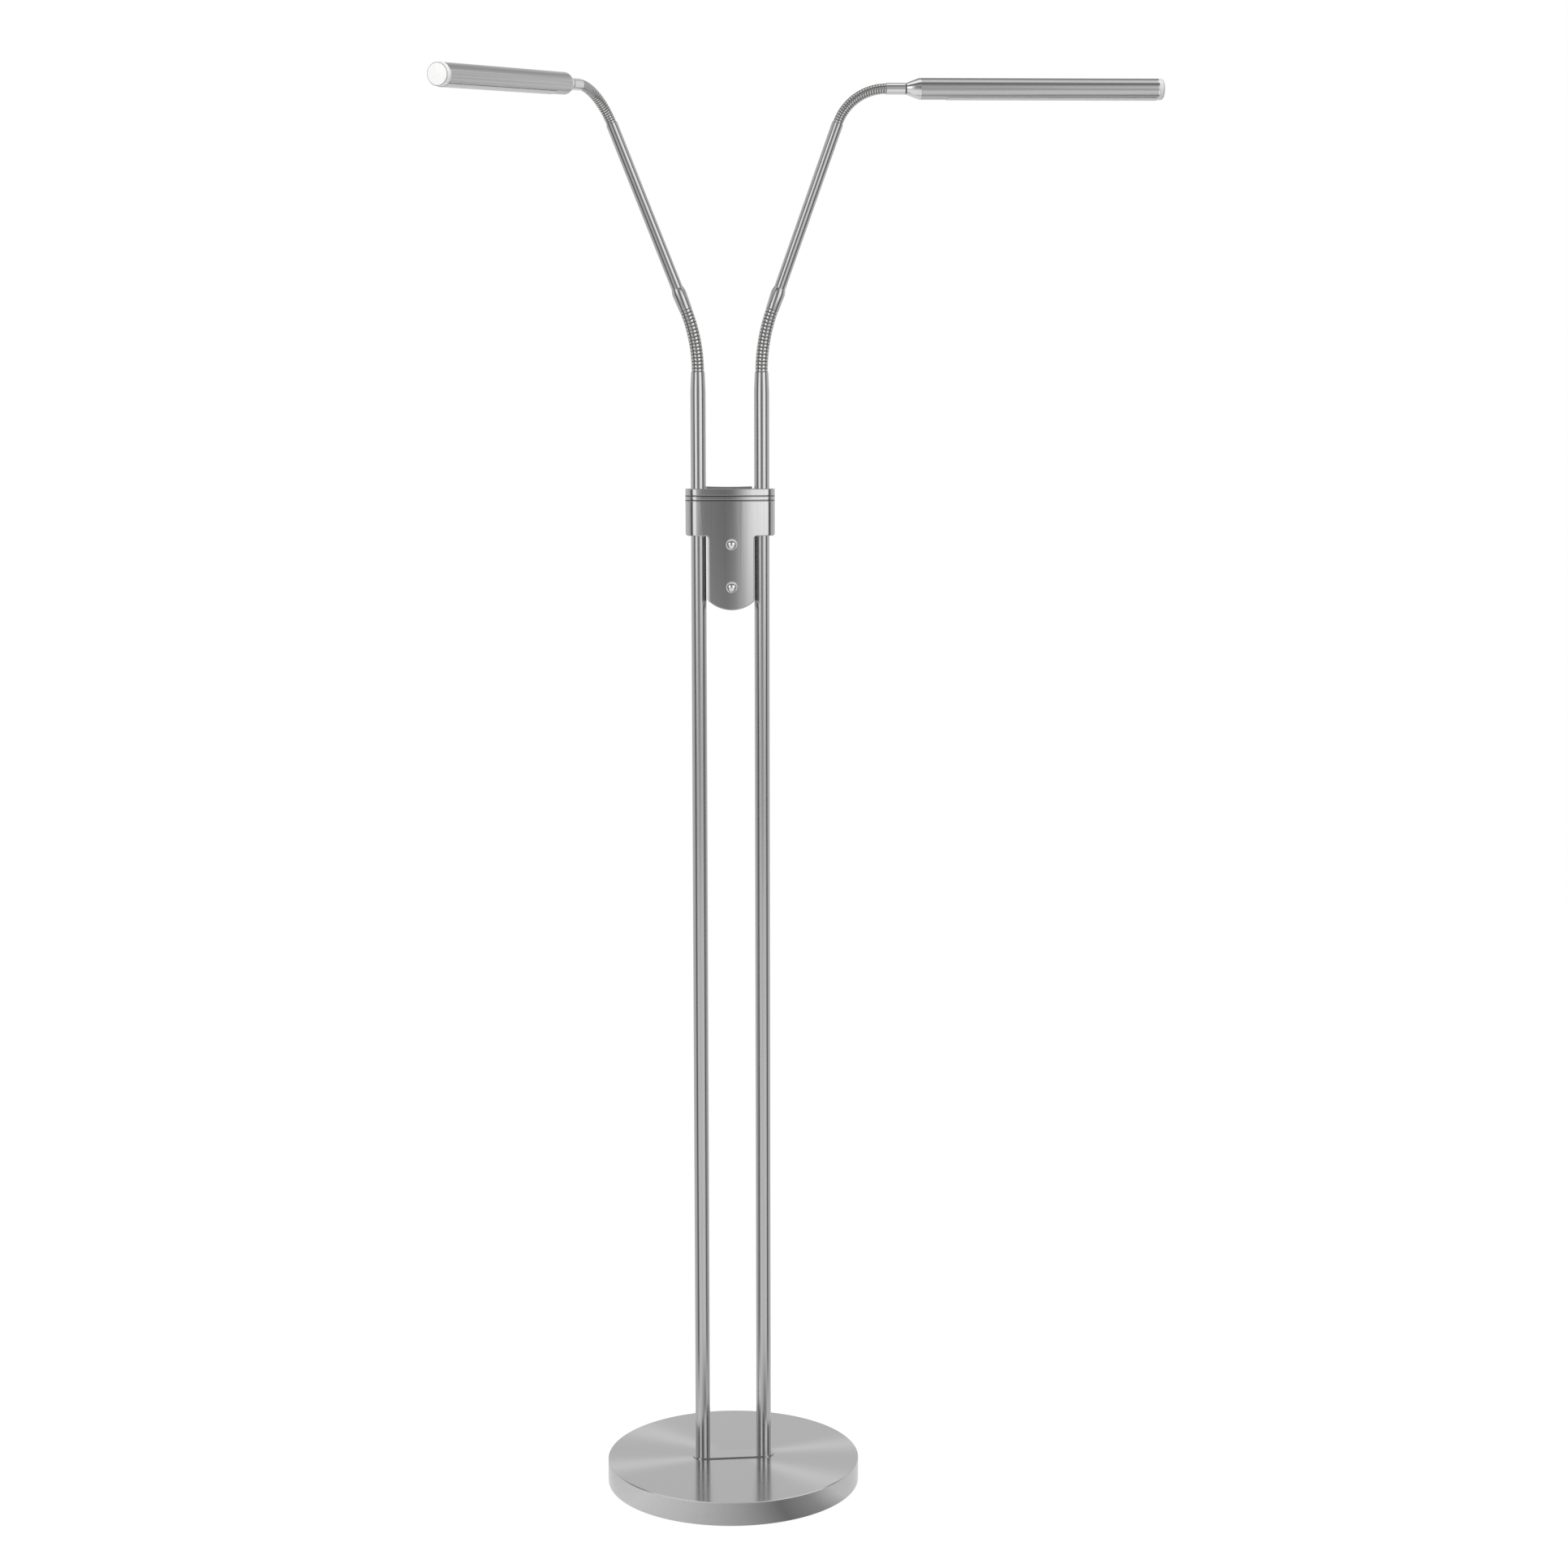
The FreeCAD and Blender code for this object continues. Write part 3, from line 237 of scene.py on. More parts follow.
class Web:
    """The nodes of one tree."""

    def __init__(self, tree):
        self.tree = tree
        tree.nodes.clear()

    def add(self, kind, settings=None, inputs=(), output=0):
        """Adds a node: its settings first, then its inputs by place or by name."""
        node = self.tree.nodes.new(kind)
        for key, value in (settings or {}).items():
            if key == "stops":
                fill_ramp(node.color_ramp, value)
            else:
                setattr(node, key, value)
        for key, value in inputs.items() if isinstance(inputs, dict) else enumerate(inputs):
            if isinstance(value, Wire):
                self.tree.links.new(value.socket, node.inputs[key])
            else:
                node.inputs[key].default_value = value
        return Wire(self, node.outputs[output]) if node.outputs else node

    def math(self, operation, *values):
        return self.add("ShaderNodeMath", {"operation": operation}, values)

    def vector(self, operation, *values, output=0):
        return self.add("ShaderNodeVectorMath", {"operation": operation}, values, output)

    def mix(self, factor, first, second):
        """A colour between two colours."""
        return self.add("ShaderNodeMix", {"data_type": "RGBA"},
                        {0: factor, 6: opaque(first), 7: opaque(second)}, output=2)

    def ease(self, value, low, high):
        """0 below low and 1 above high, smoothly."""
        return self.add("ShaderNodeMapRange", {"interpolation_type": "SMOOTHSTEP"},
                        {"Value": value, "From Min": low, "From Max": high})

    def noise(self, where, scale, detail=2.0, roughness=0.5):
        return self.add("ShaderNodeTexNoise", {}, {
            "Vector": where, "Scale": scale, "Detail": detail, "Roughness": roughness})

    def bump(self, height, distance, strength=1.0):
        return self.add("ShaderNodeBump", {}, {
            "Strength": strength, "Distance": distance, "Height": height})


def opaque(colour):
    """A colour with its alpha, and a wire as it is."""
    return colour if isinstance(colour, Wire) else (*colour, 1.0)


def fill_ramp(ramp, stops):
    """Gives a ramp its stops, as pairs of a place and a grey."""
    while len(ramp.elements) > 1:
        ramp.elements.remove(ramp.elements[-1])
    for number, (place, grey) in enumerate(stops):
        stop = ramp.elements.new(place) if number else ramp.elements[0]
        stop.position = place
        stop.color = (grey, grey, grey, 1.0)


class Finish(Web):
    """A material round one Principled shader."""

    def __init__(self, name):
        self.material = bpy.data.materials.new(name)
        self.material.use_nodes = True
        super().__init__(self.material.node_tree)

    def where(self, place=None):
        """Object coordinates, or those of a piece's own frame."""
        coordinates = self.add("ShaderNodeTexCoord", output=3)
        if place is None:
            return coordinates
        back = place.inverted()
        return self.add("ShaderNodeMapping", {}, {
            "Vector": coordinates, "Location": back.translation, "Rotation": back.to_euler()})

    def shade(self, **inputs):
        """Ends the tree in a Principled shader with these inputs, and returns the material."""
        named = {key.replace("_", " ").title(): value for key, value in inputs.items()}
        if "Ior" in named:
            named["IOR"] = named.pop("Ior")
        colour = named.get("Base Color")
        if colour is not None:
            named["Base Color"] = opaque(colour)
        shader = self.add("ShaderNodeBsdfPrincipled", {}, named)
        self.add("ShaderNodeOutputMaterial", {}, {"Surface": shader})
        return self.material


# --- finishes --------------------------------------------------------------------------------

def min_of(wires):
    """The least of some wires."""
    first, *others = wires
    for wire in others:
        first = first.math("MINIMUM", wire)
    return first


def scaled(colour, factor):
    return tuple(min(1.0, channel * factor) for channel in colour)


GROOVE_SHADE = (0.00045, 0.00065)  # how far from a groove's middle its shade fades
BASE_PAINTED_FANS = ((138, 44.0), (9, 80.0))  # the base's painted highlight fans: bearing in degrees and narrowness
PAINTED_FAN_START = (0.012, 0.06)  # how far from the middle the painted highlight fans fade in


def drawn_metal(name, colour, roughness, place=None, lines=2200.0, line_depth=0.000004,
                streak=0.05, painted_shade_levels=()):
    """Metal with fine lines and wider streaks along its own Z axis, and a faint cloudiness.

    At some heights it can carry painted shade, darker as down in a groove.
    """
    finish = Finish(name)
    where = finish.where(place)
    along = finish.vector("MULTIPLY", where, (1.0, 1.0, 0.006))
    grain = finish.noise(along, lines, detail=3.0, roughness=0.65)
    wide = finish.ease(finish.noise(along, lines / 3, detail=2.0), 0.34, 0.66)
    cloud = finish.noise(where, 38.0, detail=3.0)
    blend = 0.5 * grain + 0.5 * wide
    metal = finish.mix(blend, scaled(colour, 1 - 1.5 * streak), scaled(colour, 1 + streak))
    if painted_shade_levels:
        # painted shade near the given heights, as down in the clamp's grooves
        height = split(finish, where)[2]
        beside = min_of((height - level).math("ABSOLUTE") for level in painted_shade_levels)
        metal = finish.mix(finish.ease(beside, *GROOVE_SHADE), scaled(colour, 0.25), metal)
    return finish.shade(
        base_color=metal,
        metallic=1.0,
        roughness=roughness * 0.8 + roughness * 0.3 * grain + roughness * 0.1 * cloud,
        normal=finish.bump(grain, line_depth),
    )


def turned_metal(name, colour, roughness, lean=0.05, painted_fan_and_grain_strength=0.16):
    """Metal turned on a lathe: fine rings spread its reflections, and painted highlight fans cross it.
    """
    finish = Finish(name)
    x, y, _ = split(finish, finish.where())
    bearing = y.math("ARCTAN2", x)
    painted_fans = sum((bearing - radians(degrees)).math("COSINE").math("ABSOLUTE") ** narrow
               for degrees, narrow in BASE_PAINTED_FANS)
    flat = finish.vector("MULTIPLY", finish.where(), (1.0, 1.0, 0.0))
    reach = finish.vector("LENGTH", flat, output=1)
    outwards = finish.vector("NORMALIZE", flat)
    rings = finish.add("ShaderNodeTexNoise", {"noise_dimensions": "1D"}, {
        "W": reach, "Scale": 2600.0, "Detail": 2.0, "Roughness": 0.6})
    tilt = finish.add("ShaderNodeVectorMath", {"operation": "SCALE"}, {
        "Vector": outwards, "Scale": (rings - 0.5) * lean})
    level = finish.add("ShaderNodeNewGeometry", output=1)
    cloud = finish.noise(finish.where(), 30.0, detail=3.0)
    upright = 1 - split(finish, level)[2].math("ABSOLUTE")
    brushed = finish.noise(finish.vector("MULTIPLY", finish.where(), (1.0, 1.0, 5.0)), 420.0)
    # painted highlight fans across the top, and brushed grain on the side
    painted_fans_and_grain = finish.ease(reach, *PAINTED_FAN_START) * painted_fans * (1 - upright) + upright * brushed
    return finish.shade(
        base_color=finish.mix(painted_fans_and_grain, scaled(colour, 1 - painted_fan_and_grain_strength / 2), scaled(colour, 1 + painted_fan_and_grain_strength)),
        metallic=1.0,
        roughness=roughness * 0.85 + roughness * 0.3 * cloud,
        normal=finish.vector("NORMALIZE", finish.vector("ADD", level, tilt)),
    )


def polished_metal(name, colour, roughness):
    """Plated metal with the faint unevenness of polishing."""
    finish = Finish(name)
    where = finish.where()
    cloud = finish.noise(where, 160.0, detail=3.0)
    fine = finish.noise(where, 1800.0)
    return finish.shade(
        base_color=finish.mix(cloud, scaled(colour, 0.96), scaled(colour, 1.03)),
        metallic=1.0,
        roughness=roughness * 0.7 + roughness * 0.6 * cloud,
        normal=finish.bump(fine, 0.0000012),
    )


def neck_metal(name, colour):
    """Polished nickel that is duller down in the grooves, where painted shade darkens it."""
    finish = Finish(name)
    crest = finish.add("ShaderNodeAttribute", {"attribute_name": "crest"}, output=2)
    cloud = finish.noise(finish.where(), 400.0)
    bright = finish.mix(cloud, scaled(colour, 0.95), scaled(colour, 1.05))
    # painted shade: nearly black down in the grooves, full metal on the crests
    return finish.shade(
        base_color=finish.mix(crest, scaled(colour, 0.06), bright),
        metallic=1.0,
        roughness=0.34 - 0.22 * crest,
    )


def plastic(name, colour, roughness, grain=900.0, depth=0.00001, coat=0.0, mottle=0.06):
    """Moulded plastic, rubber or lacquer with a fine grain."""
    finish = Finish(name)
    where = finish.where()
    fine = finish.noise(where, grain, detail=3.0)
    cloud = finish.noise(where, 60.0, detail=2.0)
    return finish.shade(
        base_color=finish.mix(cloud, scaled(colour, 1.0 - mottle), scaled(colour, 1.0 + mottle)),
        roughness=roughness * 0.85 + roughness * 0.3 * fine,
        coat_weight=coat,
        coat_roughness=0.06,
        normal=finish.bump(fine, depth),
    )


def cast_iron(name, colour):
    """Rough cast iron under a thin black paint."""
    finish = Finish(name)
    where = finish.where()
    sand = finish.noise(where, 700.0, detail=4.0, roughness=0.7)
    patches = finish.noise(where, 45.0, detail=3.0)
    return finish.shade(
        base_color=finish.mix(patches, scaled(colour, 0.7), scaled(colour, 1.3)),
        metallic=0.6,
        roughness=0.55 + 0.2 * sand,
        normal=finish.bump(sand, 0.00015),
    )


def foam(name, colour):
    """Closed-cell foam with small pits."""
    finish = Finish(name)
    where = finish.where()
    cells = finish.add("ShaderNodeTexVoronoi", {}, {"Vector": where, "Scale": 1100.0})
    return finish.shade(
        base_color=finish.mix(cells, scaled(colour, 1.4), scaled(colour, 0.6)),
        roughness=0.95,
        sheen_weight=0.15,
        normal=finish.bump(cells, 0.0002, 0.6),
    )


def rimmed_plastic(name, colour, rim, place, head_radius, roughness):
    """A pale cap with a deeper ring just inside its rim."""
    finish = Finish(name)
    where = finish.where(place)
    across = finish.vector("LENGTH", finish.vector("MULTIPLY", where, (1.0, 1.0, 0.0)), output=1)
    share = across / head_radius
    edge = finish.ease(share, *CAP_RING_IN) * (1 - finish.ease(share, *CAP_RING_OUT))
    fine = finish.noise(where, 1400.0, detail=2.0)
    return finish.shade(
        base_color=finish.mix(edge, colour, rim),
        roughness=roughness + 0.08 * fine,
        coat_weight=0.5,
        coat_roughness=0.08,
        normal=finish.bump(fine, 0.000004),
    )


def dress(node, material):
    """Gives a piece of the frame its finish."""
    piece = frame["nodes"][node]
    if not piece.material_slots:
        piece.data.materials.append(material)
    for slot in piece.material_slots:
        slot.material = material


# --- meshes ----------------------------------------------------------------------------------

def axes(origin, along, towards):
    """A frame whose Z runs along one direction and whose X leans towards another."""
    z = along.normalized()
    y = z.cross(towards).normalized()
    x = y.cross(z)
    turn = Matrix((x, y, z)).transposed().to_4x4()
    return Matrix.Translation(origin) @ turn


def corners_of(node, place):
    """The corners of a piece of the frame, as another frame sees them."""
    back = place.inverted()
    return [back @ vertex.co for vertex in frame["nodes"][node].data.vertices]


def span(node, place):
    """How far a piece of the frame reaches along a frame's Z, and its greatest radius there."""
    corners = corners_of(node, place)
    heights = [corner.z for corner in corners]
    return min(heights), max(heights), max(corner.xy.length for corner in corners)


def girth(node, place, low, high):
    """A piece's greatest radius about a frame's Z, between two heights."""
    return max(corner.xy.length for corner in corners_of(node, place)
               if low <= corner.z <= high)


def joined(name, mesh, material):
    """A new object for a mesh, with one finish."""
    mesh.materials.clear()
    mesh.materials.append(material)
    piece = bpy.data.objects.new(name, mesh)
    bpy.context.scene.collection.objects.link(piece)
    return piece


def rounded(piece, radius, limit="ANGLE"):
    """Rounds a piece's sharp edges, or those with a bevel weight."""
    bevel = piece.modifiers.new("rims", "BEVEL")
    bevel.width = radius
    bevel.segments = 3
    bevel.limit_method = limit
    bevel.angle_limit = radians(25)
    bevel.use_clamp_overlap = limit == "ANGLE"
    bevel.harden_normals = limit == "ANGLE"
    if limit == "WEIGHT":
        piece.modifiers.new("even", "WEIGHTED_NORMAL").keep_sharp = True
    return piece


def settled(piece):
    """Makes a piece's modifiers part of its mesh, with its sharp edges marked."""
    graph = bpy.context.evaluated_depsgraph_get()
    mesh = bpy.data.meshes.new_from_object(piece.evaluated_get(graph), depsgraph=graph)
    piece.modifiers.clear()
    piece.data = mesh
    mesh.set_sharp_from_angle(angle=SHARP_FROM)
    return piece


def merge(mesh, flatten=False):
    """Joins the corners of a mesh that lie in one place, and its flat faces where asked."""
    work = bmesh.new()
    work.from_mesh(mesh)
    bmesh.ops.remove_doubles(work, verts=work.verts, dist=0.000002)
    if flatten:
        bmesh.ops.dissolve_limit(work, angle_limit=radians(0.5), verts=work.verts,
                                 edges=work.edges)
    work.to_mesh(mesh)
    work.free()


def turned(name, profile, place, material, round_edges=True):
    """A turned piece from (radius, height) corners. A profile off the axis closes as a ring."""
    sides = sizes().turned_sides
    rings, vertices, faces = [], [], []
    for radius, height in profile:
        count = sides if radius > 0 else 1
        rings.append(range(len(vertices), len(vertices) + count))
        vertices += [(radius * cos(tau * step / sides), radius * sin(tau * step / sides), height)
                     for step in range(count)]
    pairs = list(zip(rings, rings[1:]))
    if profile[0][0] > 0:
        pairs.append((rings[-1], rings[0]))
    for low, high in pairs:
        for step in range(sides):
            after = (step + 1) % sides
            corners = [low[step % len(low)], low[after % len(low)],
                       high[after % len(high)], high[step % len(high)]]
            faces.append(list(dict.fromkeys(corners)))
    mesh = bpy.data.meshes.new(name)
    mesh.from_pydata(vertices, [], faces)
    mesh.transform(place)
    mesh.shade_smooth()
    mesh.set_sharp_from_angle(angle=SHARP_FROM)
    piece = joined(name, mesh, material)
    return rounded(piece, sizes().edge_round) if round_edges else piece


# --- necks -----------------------------------------------------------------------------------

class Neck:
    """One flexing neck, worked out from the six joints that it bends at.

    Its hinges lie on an arc. In the arc's own frame the first hinge is the origin, Z runs along
    the neck and X points to the arc's centre. Places along the neck are metres from that hinge.
    """

    def __init__(self, side, level):
        self.name = f"{side}_{level}_neck"
        self.side, self.level = side, level
        self.hinges = [JOINTS[f"{side}_{level}_{word}"] for word in NECK_HINGES]
        points = [Vector(hinge["pos_m"]) for hinge in self.hinges]
        first, last = points[1] - points[0], points[-1] - points[-2]
        turn = first.angle(last) / (len(points) - 2)
        axis = first.cross(last).normalized()
        start = Matrix.Rotation(-turn / 2, 3, axis) @ first
        self.bow = first.length / (2 * sin(turn / 2))
        self.place = axes(points[0], start, axis.cross(start))
        count, before, per_link = NECK_RIBS[level]
        self.pitch = self.bow * turn / per_link
        self.low = -before * self.pitch
        self.high = self.low + count * self.pitch
        self.step = per_link * self.pitch
        self.seam = (per_link - 1) // 2 * self.pitch + self.pitch / 2

    def point(self, along):
        angle = along / self.bow
        return self.place @ Vector((self.bow * (1 - cos(angle)), 0, self.bow * sin(angle)))

    def tangent(self, along):
        angle = along / self.bow
        return self.place.to_3x3() @ Vector((sin(angle), 0, cos(angle)))

    def frame_at(self, along):
        """The neck's own frame at a place along it."""
        across = self.place.to_3x3() @ Vector((0, 1, 0))
        direction = self.tangent(along)
        return axes(self.point(along), direction, across.cross(direction))


def necks_of(side):
    return Neck(side, "lower"), Neck(side, "upper")


def neck_tree():
    """Grows a ribbed neck along an arc, from one place on it to another."""
    tree = bpy.data.node_groups.new("ribbed_neck", "GeometryNodeTree")
    sockets = {
        "Bow": "Float", "Start": "Float", "End": "Float", "Radius": "Float", "Pitch": "Float",
        "Groove Depth": "Float", "Groove Sharpness": "Float", "Steps": "Int", "Sides": "Int",
        "Finish": "Material",
    }
    for name, kind in sockets.items():
        tree.interface.new_socket(name, in_out="INPUT", socket_type="NodeSocket" + kind)
    tree.interface.new_socket("Neck", in_out="OUTPUT", socket_type="NodeSocketGeometry")
    web = Web(tree)
    given = tree.nodes.new("NodeGroupInput")
    value = {name: Wire(web, given.outputs[name]) for name in sockets}

    line = web.add("GeometryNodeCurvePrimitiveLine", {}, {"End": (0.0, 0.0, 1.0)})
    line = web.add("GeometryNodeResampleCurve", {"mode": "COUNT"},
                   {"Curve": line, "Count": value["Steps"]})
    share = web.add("GeometryNodeSplineParameter")
    along = value["Start"] + share * (value["End"] - value["Start"])
    angle = along / value["Bow"]
    bent = web.add("ShaderNodeCombineXYZ", {}, {
        "X": value["Bow"] * (1 - angle.math("COSINE")), "Z": value["Bow"] * angle.math("SINE")})
    line = web.add("GeometryNodeSetPosition", {}, {"Geometry": line, "Position": bent})
    fold = (2 * (along / value["Pitch"]).math("FRACT") - 1).math("ABSOLUTE")
    groove = fold ** value["Groove Sharpness"]
    line = web.add("GeometryNodeStoreNamedAttribute", {"data_type": "FLOAT"}, {
        "Geometry": line, "Name": "crest", "Value": 1 - fold ** 2.4})
    circle = web.add("GeometryNodeCurvePrimitiveCircle", {}, {
        "Resolution": value["Sides"], "Radius": 1.0})
    skin = web.add("GeometryNodeCurveToMesh", {}, {
        "Curve": line, "Profile Curve": circle, "Fill Caps": True,
        "Scale": value["Radius"] - value["Groove Depth"] * groove})
    corners = web.add("GeometryNodeInputMeshFaceNeighbors", output=0)
    wall = web.add("FunctionNodeCompare", {"data_type": "INT", "operation": "LESS_THAN"},
                   {"A": corners, "B": 5})
    skin = web.add("GeometryNodeSetShadeSmooth", {}, {"Geometry": skin, "Shade Smooth": wall})
    skin = web.add("GeometryNodeRealizeInstances", {}, {"Geometry": skin})
    skin = web.add("GeometryNodeSetMaterial", {}, {
        "Geometry": skin, "Material": value["Finish"]})
    web.add("NodeGroupOutput", {}, {"Neck": skin})
    return tree


def grown(name, tree, values, place, material):
    """A plain mesh grown by a tree with these inputs, then put in its place."""
    seed = joined(name + "_seed", bpy.data.meshes.new(name + "_seed"), material)
    modifier = seed.modifiers.new("grow", "NODES")
    modifier.node_group = tree
    for socket in tree.interface.items_tree:
        if socket.in_out == "INPUT":
            modifier[socket.identifier] = values[socket.name]
    graph = bpy.context.evaluated_depsgraph_get()
    mesh = bpy.data.meshes.new_from_object(seed.evaluated_get(graph), depsgraph=graph)
    seed.modifiers.remove(modifier)
    bpy.data.objects.remove(seed)
    mesh.name = name
    mesh.transform(place)
    return joined(name, mesh, material)


def make_neck(neck, tree, material):
    """Six ribbed pieces, each curving across one hinge and meeting the next on a rib's crest."""
    radius = span(f"{neck.level}_neck_link_3_{neck.side}", neck.frame_at(2.5 * neck.step))[2]
    for number, hinge in enumerate(neck.hinges):
        middle = number * neck.step
        start = middle - neck.seam if number else neck.low
        last = number == len(neck.hinges) - 1
        end = neck.high if last else middle - neck.seam + neck.step
        steps = round((end - start) / neck.pitch * sizes().rib_steps) + 1
        values = {
            "Bow": neck.bow, "Start": start, "End": end, "Radius": radius, "Pitch": neck.pitch,
            "Groove Depth": sizes().groove_depth, "Groove Sharpness": sizes().groove_sharpness,
            "Steps": steps, "Sides": sizes().neck_sides, "Finish": material,
        }
        piece = grown(f"{neck.name}_{number + 1}", tree, values, neck.place, material)
        ends = [(hinge["parent"], neck.point(start)), (hinge["child"], neck.point(end))]
        if hinge["name"] in CHILD_FIRST:
            ends.reverse()
        (body, near), (other, far) = ends
        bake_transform(piece)
        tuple(near)
        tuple(far)
        if not last:
            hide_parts(f"{neck.level}_neck_link_{number + 1}_{neck.side}")


class LAMP_OT_necks(Operator):
    """Make the four flexing necks with their ribs"""

    bl_idname = "lamp.necks"
    bl_label = "Flexing Necks"

    def execute(self, context):
        tree = neck_tree()
        material = neck_metal("neck_nickel", tones().nickel)
        for side in SIDES:
            for neck in necks_of(side):
                make_neck(neck, tree, material)
        return {"FINISHED"}


# --- poles, arms and ferrules ----------------------------------------------------------------

class LAMP_OT_poles(Operator):
    """Make the tapered upper poles and finish the lower ones"""

    bl_idname = "lamp.poles"
    bl_label = "Poles"

    def execute(self, context):
        for side in SIDES:
            neck = Neck(side, "lower")
            top = neck.point(neck.low)
            place = Matrix.Translation((top.x, top.y, 0))
            material = drawn_metal(f"pole_satin_{side}", tones().satin, 0.17, place)
            dress(f"pole_{side}", material)
            low, _, radius = span(f"upper_pole_{side}", place)
            profile = [(0, low), (radius, low), (radius, top.z - sizes().taper_length),
                       (sizes().pole_top_radius, top.z), (0, top.z)]
            piece = turned(f"upper_pole_{side}_tube", profile, place, material)
            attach(piece, "root")
            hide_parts(f"upper_pole_{side}")
        return {"FINISHED"}


class LAMP_OT_arms(Operator):
    """Make the arm tubes and the sleeves that hold them"""

    bl_idname = "lamp.arms"
    bl_label = "Arms and Sleeves"

    def execute(self, context):
        for side in SIDES:
            lower, upper = necks_of(side)
            place = lower.frame_at(lower.high)
            material = drawn_metal(f"arm_satin_{side}", tones().satin, 0.17, place)
            _, end, radius = span(f"neck_sleeve_{side}", place)
            tube = span(f"arm_tube_{side}", place)[2]
            sleeve = turned(f"arm_sleeve_{side}", [
                (0, 0), (sizes().sleeve_foot_radius, 0), (radius, end - sizes().sleeve_shoulder),
                (tube * SLEEVE_TOP, end), (0, end),
            ], place, material)
            top = (upper.point(upper.low) - place.translation).length
            arm = turned(f"arm_{side}_tube", [
                (0, end / 2), (tube, end / 2), (tube, top), (0, top),
            ], place, material)
            for piece, node in ((sleeve, f"neck_sleeve_{side}"), (arm, f"arm_tube_{side}")):
                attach(piece, f"{side}_arm")
                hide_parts(node)
        return {"FINISHED"}


def head_frame(side):
    """The head's own frame: Z out along its axis, and X towards the side that gives light."""
    swivel = JOINTS[f"{side}_head_swivel"]
    origin, axis = Vector(swivel["pos_m"]), Vector(swivel["axis"])
    low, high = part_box(f"diffuser_{side}")
    return axes(origin, axis, (low + high) / 2 - origin)


CONE_FOOT = (-0.0001, 0.0005)  # the heights above a cone's foot where its narrow end is measured
SPIGOT_SLICE = 0.0002  # the length of spigot where its radius is measured


class LAMP_OT_ferrules(Operator):
    """Make the ferrules and the swivel cones, and finish the washers between them"""

    bl_idname = "lamp.ferrules"
    bl_label = "Ferrules and Swivels"

    def execute(self, context):
        black = plastic("ring_black", tones().rubber, 0.35, coat=0.2)
        for side in SIDES:
            place = head_frame(side)
            chrome = polished_metal(f"cone_chrome_{side}", tones().chrome, 0.09)
            end = span(f"head_ferrule_{side}", place)[1]
            outer = girth(f"head_ferrule_{side}", place, end / 2, end)
            piece = turned(f"ferrule_{side}", [(0, 0), (outer, 0), (outer, end), (0, end)],
                           place, chrome)
            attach(piece, f"{side}_ferrule")
            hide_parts(f"head_ferrule_{side}")
            _, inside, wide = span(f"swivel_cone_{side}", place)
            low = span(f"swivel_washer_{side}", place)[1]
            high = span(f"head_tube_{side}", place)[0]
            foot = [low + height for height in CONE_FOOT]
            narrow = girth(f"swivel_cone_{side}", place, *foot)
            spigot = girth(f"swivel_cone_{side}", place, inside - SPIGOT_SLICE, inside)
            cone = turned(f"cone_{side}", [
                (0, low), (narrow, low), (wide, high - sizes().cone_rim), (wide, high),
                (spigot, high), (spigot, inside), (0, inside),
            ], place, chrome)
            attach(cone, f"{side}_head")
            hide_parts(f"swivel_cone_{side}")
            dress(f"swivel_washer_{side}", black)
        return {"FINISHED"}


# --- heads -----------------------------------------------------------------------------------

def slotted_tube(name, place, low, slot, tip, radius, half_slot, material):
    """A head tube: closed at the rear, then slotted, with the slot's end curving open."""
    settings = sizes()
    columns = settings.turned_sides
    flare = settings.flare_length
    rows = [(low, half_slot), (slot, half_slot), (tip - flare, half_slot)]
    for step in range(1, FLARE_STEPS + 1):
        share = step / FLARE_STEPS
        opening = half_slot + (settings.flare_angle - half_slot) * (1 - sqrt(1 - share * share))
        rows.append((tip - flare * (1 - share), opening))
    round_rows = [(height, opening, tau - opening) for height, opening in rows]
    rear_rows = [(height, -half_slot, half_slot) for height in (low, slot)]
    vertices, faces = [], []
    for patch, count in ((round_rows, columns), (rear_rows, columns // REAR_PART)):
        base = len(vertices)
        for height, first, last in patch:
            for column in range(count + 1):
                angle = first + (last - first) * column / count
                vertices.append((radius * cos(angle), radius * sin(angle), height))
        for row in range(len(patch) - 1):
            for column in range(count):
                corner = base + row * (count + 1) + column
                faces.append((corner, corner + 1, corner + count + 2, corner + count + 1))
    mesh = bpy.data.meshes.new(name)
    mesh.from_pydata(vertices, [], faces)
    merge(mesh)
    mesh.transform(place)
    mesh.shade_smooth()
    piece = joined(name, mesh, material)
    wall = piece.modifiers.new("wall", "SOLIDIFY")
    wall.thickness = settings.head_wall
    wall.offset = -1
    return settled(piece)


def light_strip(name, place, low, high, radius, half_slot, material):
    """The milky strip in a head's slot, standing a little out of the tube."""
    outer = radius + sizes().strip_rise
    reach = half_slot + sizes().strip_lap / radius
    arc = [reach * (2 * step / STRIP_STEPS - 1) for step in range(STRIP_STEPS + 1)]
    section = [(outer * cos(angle), outer * sin(angle)) for angle in arc]
    vertices = [(x, y, height) for height in (low, high) for x, y in section]
    size = len(section)
    faces = [tuple(range(size))[::-1], tuple(range(size, 2 * size))]
    for step in range(size):
        after = (step + 1) % size
        faces.append((step, after, after + size, step + size))
    mesh = bpy.data.meshes.new(name)
    mesh.from_pydata(vertices, [], faces)
    mesh.transform(place)
    mesh.shade_smooth()
    mesh.set_sharp_from_angle(angle=SHARP_FROM)
    return rounded(joined(name, mesh, material), sizes().edge_round)


def make_cap(side, place, ring_end, top, radius, curve, material):
    """An end cap with a round rim."""
    profile = [(0, ring_end), (radius, ring_end)]
    for step in range(CAP_STEPS + 1):
        angle = step / CAP_STEPS * pi / 2
        profile.append((radius - curve * (1 - cos(angle)), top - curve * (1 - sin(angle))))
    profile.append((0, top))
    return turned(f"end_cap_{side}_disc", profile, place, material, round_edges=False)


